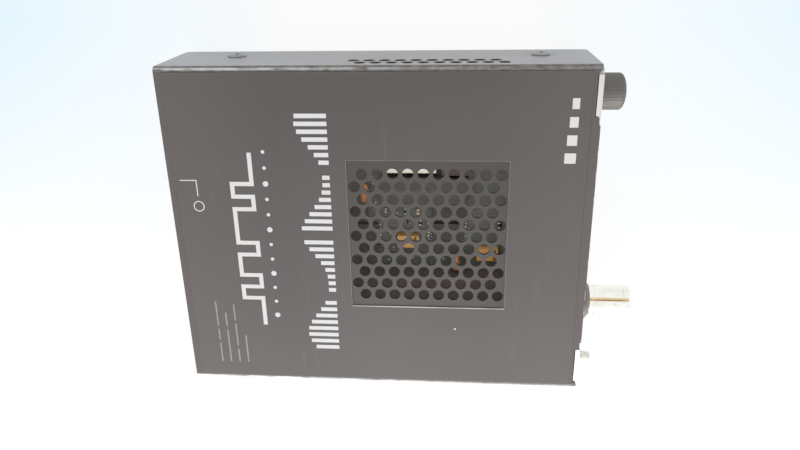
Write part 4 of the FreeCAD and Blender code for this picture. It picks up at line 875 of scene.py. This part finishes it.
class CONVERTER_OT_coax_jack(bpy.types.Operator):
    """Bayonet jack with a turned bright barrel"""
    bl_idname = "converter.coax_jack"
    bl_label = "Coaxial jack"

    def execute(self, context):
        eased("coax_housing", "dusty_polyester", 0.25, "coax_moulding", steps=3)
        middle, radius, length = round_node("coax_barrel")
        shell_front, core, _ = round_node("coax_insulator")
        tall = (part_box("coax_barrel")[1].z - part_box("coax_barrel")[0].z) / 2 / MM
        r, end, core = radius / MM, length / MM, core / MM
        bore, floor = r - 0.75, (shell_front.y - middle.y) / MM + 6.1
        # In millimetres: the bore, the rounded lip, a groove near the lip and one near the collar
        barrel = ((floor, core), (floor, bore), (0.5, bore), (0.15, bore + 0.12), (0, bore + 0.3),
                  (0, r - 0.32), (0.12, r - 0.1), (0.35, r), (1.9, r), (2.0, r - 0.1),
                  (2.25, r - 0.1), (2.35, r), (end - 5.6, r), (end - 5.5, r - 0.15),
                  (end - 5.1, r - 0.15), (end - 5.0, r), (end, r), (end, core), (floor, core))
        stud = ((r - 0.4, 0), (r - 0.4, 1.0), (tall - 0.2, 1.0), (tall - 0.05, 0.85), (tall, 0.6),
                (tall, 0))
        mesh = bmesh.new()
        turned(mesh, [(a * MM, b * MM) for a, b in barrel], middle, Y, 96)
        bmesh.ops.remove_doubles(mesh, verts=mesh.verts, dist=0.0005 * MM)
        for way in (Z, -Z):
            turned(mesh, [(a * MM, b * MM) for a, b in stud], middle + Y * 4.7 * MM, way, 32)
        piece("bayonet_barrel", closed(mesh), "bright_nickel_plate", "coax_barrel")
        paint("turned_ptfe", "coax_insulator")
        paint("hard_gold_plate", "coax_contact")
        paint("tinned_copper", "coax_pins")
        return DONE


class CONVERTER_OT_network_jack(bpy.types.Operator):
    """Modular jack, its shield, bent contact wires and light windows"""
    bl_idname = "converter.network_jack"
    bl_label = "Network jack"

    def execute(self, context):
        eased("network_jack", "moulded_polyester", 0.15, "jack_insert")
        eased("jack_shield", "bright_nickel_plate", 0.05, "jack_can", steps=1)
        paint("tinted_acrylic", "jack_lights")
        mesh = bmesh.new()
        flat, dip, bends = 1.2 * MM, 0.2 * MM, 8
        for low, high in islands("jack_wires"):
            middle = Vector(((low.x + high.x) / 2, 0, high.z - 0.2 * MM))
            back, front = high.y - 0.3 * MM, low.y + 0.2 * MM
            path = [middle + Y * back]
            for k in range(bends + 1):
                share = k / bends
                path.append(middle + Y * (back - flat + (front - back + flat) * share)
                            - Z * dip * math.sin(share * math.pi / 2))
            add_strip(mesh, path, X, (high.x - low.x) * 0.8, 0.25 * MM)
        piece("jack_springs", closed(mesh), "hard_gold_plate", "jack_wires")
        return DONE


class CONVERTER_OT_status_lamp(bpy.types.Operator):
    """Domed lamp lens in its holder"""
    bl_idname = "converter.status_lamp"
    bl_label = "Status lamp"

    def execute(self, context):
        middle, radius, length = round_node("status_lamp")
        dome = [(radius * (1 - math.cos(a)), radius * math.sin(a))
                for a in (math.pi / 2 * k / 10 for k in range(11))]
        mesh = bmesh.new()
        turned(mesh, dome + [(length, radius), (length, 0)], middle, Y, 40)
        piece("lamp_dome", closed(mesh), "clear_lamp_epoxy", "status_lamp")
        eased("lamp_holder", "moulded_nylon", 0.2, "lamp_block")
        return DONE


class CONVERTER_OT_thumbscrew(bpy.types.Operator):
    """Knurled knob, steel shank and washer"""
    bl_idname = "converter.thumbscrew"
    bl_label = "Thumbscrew"

    def execute(self, context):
        centre, radius, length = round_node("thumbscrew_knob")
        core = round_node("thumbscrew_shank")[1] / radius
        end, hole = length / MM, 5.9
        ridges, points_per_ridge, deepest = 36, 6, 0.06 * MM
        # Millimetres along the knob, and shares of its radius
        section = ((0, 0), (0, 0.42), (0.1, 0.55), (0.35, 0.72), (0.75, 0.88), (1.2, 0.965),
                   (1.55, 1), (1.8, 1), (end - 0.75, 1), (end - 0.35, 0.985), (end, 0.94),
                   (end, core), (end - hole, core), (end - hole, 0))
        mesh = bmesh.new()
        turned(mesh, [(along * MM, radius * out) for along, out in section], centre, Y,
               ridges * points_per_ridge)
        for vert in mesh.verts:
            spoke = Vector((vert.co.x - centre.x, 0, vert.co.z - centre.z))
            along = (vert.co.y - centre.y) / MM
            if spoke.length > radius * 0.9 and 1.0 < along < end - 0.2:
                turn = math.atan2(spoke.z, spoke.x) * ridges
                dip = 0.5 - 0.5 * math.cos(turn)
                vert.co -= spoke.normalized() * deepest * dip ** 2
        piece("knurled_knob", closed(mesh), knob_plastic, "thumbscrew_knob", sharp=50)
        paint("bright_zinc_plate", "thumbscrew_shank", "retaining_washer")
        return DONE


def bent_leads(thick):
    """Gull-wing leads: out of the chip's side, down, and flat on the board."""
    mesh = bmesh.new()
    bodies = islands("logic_chips") + islands("magnetics_module")
    for low, high in islands("chip_leads"):
        foot = (low + high) / 2
        body = min(bodies, key=lambda b: gap(b, foot))
        way, side = (X, Y) if high.x - low.x > high.y - low.y else (Y, X)
        out = way * (1 if foot.dot(way) > ((body[0] + body[1]) / 2).dot(way) else -1)
        length = (high - low).dot(way)
        inner = foot - out * length / 2
        rise = min((body[1].z - body[0].z) * 0.45, 1.2 * MM)
        spots = ((-0.15, rise), (0.22, rise), (0.36, rise * 0.85), (0.46, rise * 0.3),
                 (0.58, 0.02 * MM), (0.72, 0), (1.0, 0))
        path = [Vector((inner.x, inner.y, low.z + thick / 2 + up)) + out * length * share
                for share, up in spots]
        add_strip(mesh, path, side, (high - low).dot(side) * 0.8, thick)
    piece("chip_pins", closed(mesh), "tinned_copper", "chip_leads")


def tantalums():
    """Moulded capacitors with tinned ends and a polarity band."""
    eased("tantalum_capacitors", "yellow_moulded_epoxy", 0.2, "tantalum_bodies")
    paint("tinned_copper", "tantalum_ends")
    mesh = bmesh.new()
    inset, start, width = 0.25 * MM, 0.7 * MM, 0.9 * MM
    for low, high in islands("tantalum_capacitors"):
        add_block(mesh, (low.x + inset, low.y + start, high.z - 0.1 * MM),
                  (high.x - inset, low.y + start + width, high.z + 0.01 * MM))
    piece("tantalum_bands", mesh, "brown_band_ink", "tantalum_capacitors", replaces=False)


def dipped_discs():
    """Dipped discs: lens-shaped drops with a skirt that runs down both legs."""
    mesh, legs = bmesh.new(), bmesh.new()
    wire = 0.3 * MM
    # Millimetres up the leg, and the skirt's radius there
    skirt = ((0.9, 0), (0.9, 0.38), (1.6, 0.75), (2.8, 1.0), (2.8, 0))
    for low, high in islands("dipped_capacitors"):
        middle = (low + high) / 2
        radius, half = (high.x - low.x) / 2, (high.y - low.y) / 2
        centre = Vector((middle.x, middle.y, high.z - radius))
        for vert in bmesh.ops.create_icosphere(mesh, subdivisions=4, radius=1.0)["verts"]:
            bulge = 1 + 0.05 * noise.noise(vert.co * 1.7 + centre * 900)
            flat = math.copysign(abs(vert.co.y) ** 0.8, vert.co.y)
            vert.co = centre + Vector((vert.co.x * radius, flat * half * 0.92,
                                       vert.co.z * radius)) * bulge
        for side in (-1, 1):
            at = Vector((centre.x + side * radius / 2, centre.y, low.z))
            tall = centre.z - low.z
            turned(legs, [(0, 0), (0, wire), (tall, wire), (tall, 0)], at, Z, 12)
            turned(mesh, [(up * MM, out * MM) for up, out in skirt], at, Z, 16)
    piece("dipped_bodies", closed(mesh), "dipped_epoxy", "dipped_capacitors", sharp=60)
    piece("dipped_legs", closed(legs), "tinned_copper", "dipped_capacitors", replaces=False)


def chip_parts(count):
    """Chip resistors and capacitors with bright ends: the CAD ones and scattered small ones."""
    bodies = {"resistor": bmesh.new(), "capacitor": bmesh.new()}
    ends = bmesh.new()
    spots = [(kind, *box) for kind in bodies for box in islands(f"chip_{kind}s")]
    for kind, low, high in spots + free_spots(count):
        along = 0 if high.x - low.x > high.y - low.y else 1
        cap = (high[along] - low[along]) * 0.22
        shrink = Vector((0.03, 0.03, 0.03)) * MM
        shrink[along] = cap * 0.6
        add_block(bodies[kind], low + shrink, high - shrink)
        cap_high, cap_low = high.copy(), low.copy()
        cap_high[along] = low[along] + cap
        cap_low[along] = high[along] - cap
        add_block(ends, low, cap_high)
        add_block(ends, cap_low, high)
    for kind, look in (("resistor", "black_overglaze"), ("capacitor", "sintered_ceramic")):
        ease(bodies[kind], 0.04 * MM, 1)
        piece(f"{kind}_chips", bodies[kind], look, f"chip_{kind}s")
    ease(ends, 0.06 * MM)
    piece("chip_end_caps", ends, "tinned_copper", "chip_resistors", replaces=False)


def free_spots(count):
    """Small chip parts in neat rows on free stretches of the board."""
    board_low, board_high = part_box("card_board")
    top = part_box("logic_chips")[0].z
    taken = []
    for node in ("magnetics_module", "signal_relay", "isolation_transformer", "clock_can",
                 "power_converter", "can_capacitor", "choke_coil", "coax_housing",
                 "network_jack", "board_brackets", "lamp_holder", "card_guide_left",
                 "card_guide_right", "card_socket", "logic_chips", "chip_leads",
                 "tantalum_capacitors", "dipped_capacitors", "chip_resistors",
                 "chip_capacitors", "bracket_screws"):
        taken += islands(node)
    chance = random.Random(12)
    grid, tall = 1.27 * MM, 0.5 * MM
    sizes = ((1.6 * MM, 0.8 * MM), (0.8 * MM, 1.6 * MM))
    room = Vector((0.5, 0.5, 5.0)) * MM
    spots = []
    for _ in range(6000):
        if len(spots) == count:
            break
        kind = chance.choice(("resistor", "capacitor"))
        x = round(chance.uniform(board_low.x + 6 * MM, board_high.x - 6 * MM) / grid) * grid
        y = round(chance.uniform(board_low.y + 12 * MM, board_high.y - 18 * MM) / grid) * grid
        wide, long = sizes[0 if chance.random() < 0.5 else 1]
        low = Vector((x, y, top))
        high = low + Vector((wide, long, tall))
        if all(apart(low - room, high + room, *other) for other in taken):
            taken.append((low, high))
            spots.append((kind, low, high))
    return spots


def choke():
    """Ferrite ring with turns of enamelled wire round it."""
    low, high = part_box("choke_coil")
    centre = (low + high) / 2
    tube = (high.z - low.z) / 2
    ring = (high.x - low.x) / 2 - tube
    wire = 0.32 * MM

    def spot(turn, loop, reach):
        """A place on the ring: a turn round it, then a turn round its tube."""
        out = Vector((math.cos(turn), math.sin(turn), 0))
        return centre + out * (ring + reach * math.cos(loop)) + Z * reach * math.sin(loop)

    core = bmesh.new()
    loops = [[core.verts.new(spot(turn, loop, tube - 2 * wire)) for loop in angles(24)]
             for turn in angles(64)]
    for first, second in zip(loops, loops[1:] + loops[:1]):
        bridge(core, first, second)
    piece("choke_core", closed(core), "sintered_ferrite", "choke_coil")
    turns, per_turn, wound = 20, 16, 0.9
    curve = bpy.data.curves.new("choke_turns", "CURVE")
    curve.dimensions = "3D"
    curve.bevel_depth = wire
    curve.bevel_resolution = 3
    line = curve.splines.new("POLY")
    line.points.add(turns * per_turn - 1)
    for k, turn in enumerate(angles(turns * per_turn)):
        loop = 2 * math.pi * (k % per_turn) / per_turn
        line.points[k].co = (*spot(turn * wound, loop, tube - wire), 1)
    piece("choke_turns", curve, "enamelled_copper_wire", "choke_coil", replaces=False)


class CONVERTER_OT_card_board(bpy.types.Operator):
    """Board with its chips, bent leads and scattered chip parts"""
    bl_idname = "converter.card_board"
    bl_label = "Card board"

    def execute(self, context):
        look = context.scene.converter_board
        paint(solder_mask, "card_board")
        paint("hard_gold_plate", "edge_fingers")
        eased("magnetics_module", "transfer_moulded_epoxy", 0.25, "line_magnetics")
        eased("signal_relay", "white_polyester", 0.35, "relay_body", steps=3)
        eased("isolation_transformer", "potted_resin", 0.25, "transformer_block")
        eased("logic_chips", "transfer_moulded_epoxy", 0.15, "chip_bodies")
        eased("power_converter", "potted_resin", 0.5, "converter_brick", steps=3)
        eased("clock_can", "drawn_aluminium", 0.6, "crystal_can", steps=4)
        eased("can_capacitor", "drawn_aluminium", 0.15, "electrolytic_can")
        bent_leads(look.lead)
        tantalums()
        dipped_discs()
        chip_parts(look.small_parts)
        choke()
        return DONE


class CONVERTER_OT_power_board(bpy.types.Operator):
    """Board behind the card, its socket, spacers and small parts"""
    bl_idname = "converter.power_board"
    bl_label = "Power board"

    def execute(self, context):
        paint(solder_mask, "power_board")
        eased("board_spacers", "bright_zinc_plate", 0.2, "hex_spacers")
        eased("card_socket", "moulded_polyester", 0.25, "socket_moulding")
        paint("hard_gold_plate", "socket_contacts")
        eased("input_capacitor", "drawn_aluminium", 0.4, "input_can", steps=3)
        eased("input_fuse", "amber_film", 0.3, "fuse_body", steps=3)
        return DONE


class CONVERTER_OT_power_inlet(bpy.types.Operator):
    """Power inlet's moulding, pin and spring"""
    bl_idname = "converter.power_inlet"
    bl_label = "Power inlet"

    def execute(self, context):
        eased("dc_jack_body", "moulded_polyester", 0.2, "inlet_moulding")
        eased("dc_jack_pin", "bright_nickel_plate", 0.08, "inlet_pin")
        paint("bright_nickel_plate", "dc_jack_spring")
        return DONE


# ---------------------------------------------------------------- the stage
def stage_prop(name, mesh, material):
    """A shape that belongs to the stage."""
    data = as_mesh(name, mesh)
    data.materials.append(material)
    thing = bpy.data.objects.new(name, data)
    bpy.context.scene.collection.objects.link(thing)
    return thing


def surround(scene, look):
    """Even white light from all round."""
    world = bpy.data.worlds.new("white_room")
    world.use_nodes = True
    tree = world.node_tree
    tree.nodes.clear()
    sky = add_node(tree, "ShaderNodeBackground", {
        "Color": linear("#fbfdff"), "Strength": look.world}, "Background")
    add_node(tree, "ShaderNodeOutputWorld", {"Surface": sky})
    scene.world = world


def area_lamp(name, shape, at, size, power, colour):
    """A soft lamp. It points straight down until it is turned."""
    light = bpy.data.lights.new(name, "AREA")
    light.shape = shape
    light.size, light.size_y = size
    light.energy = power
    light.color = linear(colour)[:3]
    thing = bpy.data.objects.new(name, light)
    thing.location = at
    bpy.context.scene.collection.objects.link(thing)
    return thing


def inside_fills():
    """Faint even light from the lid and the far wall, so that the card shows through the
    vents."""
    low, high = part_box("cover")
    middle, deep = (low.y + high.y) / 2 - 8 * MM, 75 * MM
    roof, wall = high.z - 1.4 * MM, high.x - 4 * MM
    for name, at, across, power, turn in (
            ("roof_fill", (0, middle, roof), 94 * MM, 0.012, 0.0),
            ("wall_fill", (wall, middle, roof - 8 * MM), 15 * MM, 0.018, math.pi / 2)):
        lamp = area_lamp(name, "RECTANGLE", at, (across, deep), power, "#fff6f2")
        lamp.rotation_euler.y = turn
        lamp.visible_camera = lamp.visible_glossy = False


def warm_card():
    """A dim warm glowing card overhead, which is no lamp and lights nothing: a painted warm
    reflection that only the bright plating mirrors.
    """
    glow = bpy.data.materials.new("warm_reflection_card")
    glow.use_nodes = True
    tree = glow.node_tree
    tree.nodes.clear()
    place = add_node(tree, "ShaderNodeTexCoord", output="Object")
    x = add_node(tree, "ShaderNodeSeparateXYZ", {"Vector": place}, "X")
    share = add_node(tree, "ShaderNodeMapRange", {
        "Value": x, "From Min": -0.035, "From Max": -0.005}, "Result")
    light = glow_mix(tree, share, "#a9782f", "#eedcae")
    light.inputs["Strength"].default_value = 0.9
    add_node(tree, "ShaderNodeOutputMaterial", {"Surface": light.outputs["Emission"]})
    mesh = bmesh.new()
    bmesh.ops.create_circle(mesh, cap_ends=True, segments=32, radius=0.08)
    card = stage_prop("warm_reflection_card", mesh, glow)
    card.location = (0.11, -0.125, 0.28)
    for ray in ("camera", "diffuse", "shadow", "transmission", "volume_scatter"):
        setattr(card, f"visible_{ray}", False)


def place_camera(scene, look):
    """Above the label, a little to the thumbscrew's side, with that side at the top."""
    view = bpy.data.cameras.new("camera")
    view.lens = look.lens
    view.sensor_width = 36.0
    view.clip_start = 0.01
    thing = bpy.data.objects.new("camera", view)
    back = Vector((0.3751, -0.0800, 0.9235)).normalized()
    right = Vector((0.9268, 0.0130, -0.3754)).cross(back).normalized()
    turn = Matrix((right, back.cross(right), back)).transposed()
    thing.matrix_world = Matrix.Translation((0.0836, -0.01535, 0.22575)) @ turn.to_4x4()
    scene.collection.objects.link(thing)
    scene.camera = thing


class CONVERTER_OT_stage(bpy.types.Operator):
    """Pale floor, soft light and the camera"""
    bl_idname = "converter.stage"
    bl_label = "Stage"

    def execute(self, context):
        scene = context.scene
        look = scene.converter_stage
        floor = bmesh.new()
        bmesh.ops.create_grid(floor, x_segments=1, y_segments=1, size=1.5)
        stage_prop("floor", floor, finish(paper_white))
        surround(scene, look)
        for name, at, size, power, colour in (
                ("low_soft_light", (-0.8, 0.02, 0.35), (1.5, 0.45), 12.0, "#fffdfa"),
                ("high_soft_light", (-0.5, 0.05, 0.75), (0.3, 0.3), 1.0, "#ffffff")):
            lamp = area_lamp(name, "ELLIPSE", at, size, power, colour)
            lamp.rotation_euler = (-Vector(at)).to_track_quat("-Z", "Y").to_euler()
        inside_fills()
        warm_card()
        place_camera(scene, look)
        scene.view_settings.view_transform = "Standard"
        return DONE


# ---------------------------------------------------------------- the add-on
PIECES = (CONVERTER_OT_case, CONVERTER_OT_label, CONVERTER_OT_screws, CONVERTER_OT_feet,
          CONVERTER_OT_card_panel, CONVERTER_OT_coax_jack, CONVERTER_OT_network_jack,
          CONVERTER_OT_status_lamp, CONVERTER_OT_thumbscrew, CONVERTER_OT_card_board,
          CONVERTER_OT_power_board, CONVERTER_OT_power_inlet, CONVERTER_OT_stage)
LOOKS = {"converter_case": CaseLooks, "converter_label": LabelLooks,
         "converter_board": BoardLooks, "converter_stage": StageLooks}


class CONVERTER_PT_panel(bpy.types.Panel):
    """Lists the converter's pieces and what can be changed"""
    bl_label = "Media converter"
    bl_idname = "CONVERTER_PT_panel"
    bl_space_type = "VIEW_3D"
    bl_region_type = "UI"
    bl_category = "Converter"

    def draw(self, context):
        for name, group in LOOKS.items():
            box = self.layout.box()
            for key in group.__annotations__:
                box.prop(getattr(context.scene, name), key)
        for operator in PIECES:
            self.layout.operator(operator.bl_idname)


def register():
    for group in LOOKS.values():
        bpy.utils.register_class(group)
    for name, group in LOOKS.items():
        setattr(bpy.types.Scene, name, PointerProperty(type=group))
    for operator in PIECES:
        bpy.utils.register_class(operator)
    bpy.utils.register_class(CONVERTER_PT_panel)


def unregister():
    bpy.utils.unregister_class(CONVERTER_PT_panel)
    for operator in reversed(PIECES):
        bpy.utils.unregister_class(operator)
    for name in LOOKS:
        delattr(bpy.types.Scene, name)
    for group in reversed(list(LOOKS.values())):
        bpy.utils.unregister_class(group)


def main():
    """Builds every piece."""
    register()
    for operator in PIECES:
        section, name = operator.bl_idname.split(".")
        getattr(getattr(bpy.ops, section), name)()


if __name__ == "__main__":
    main()
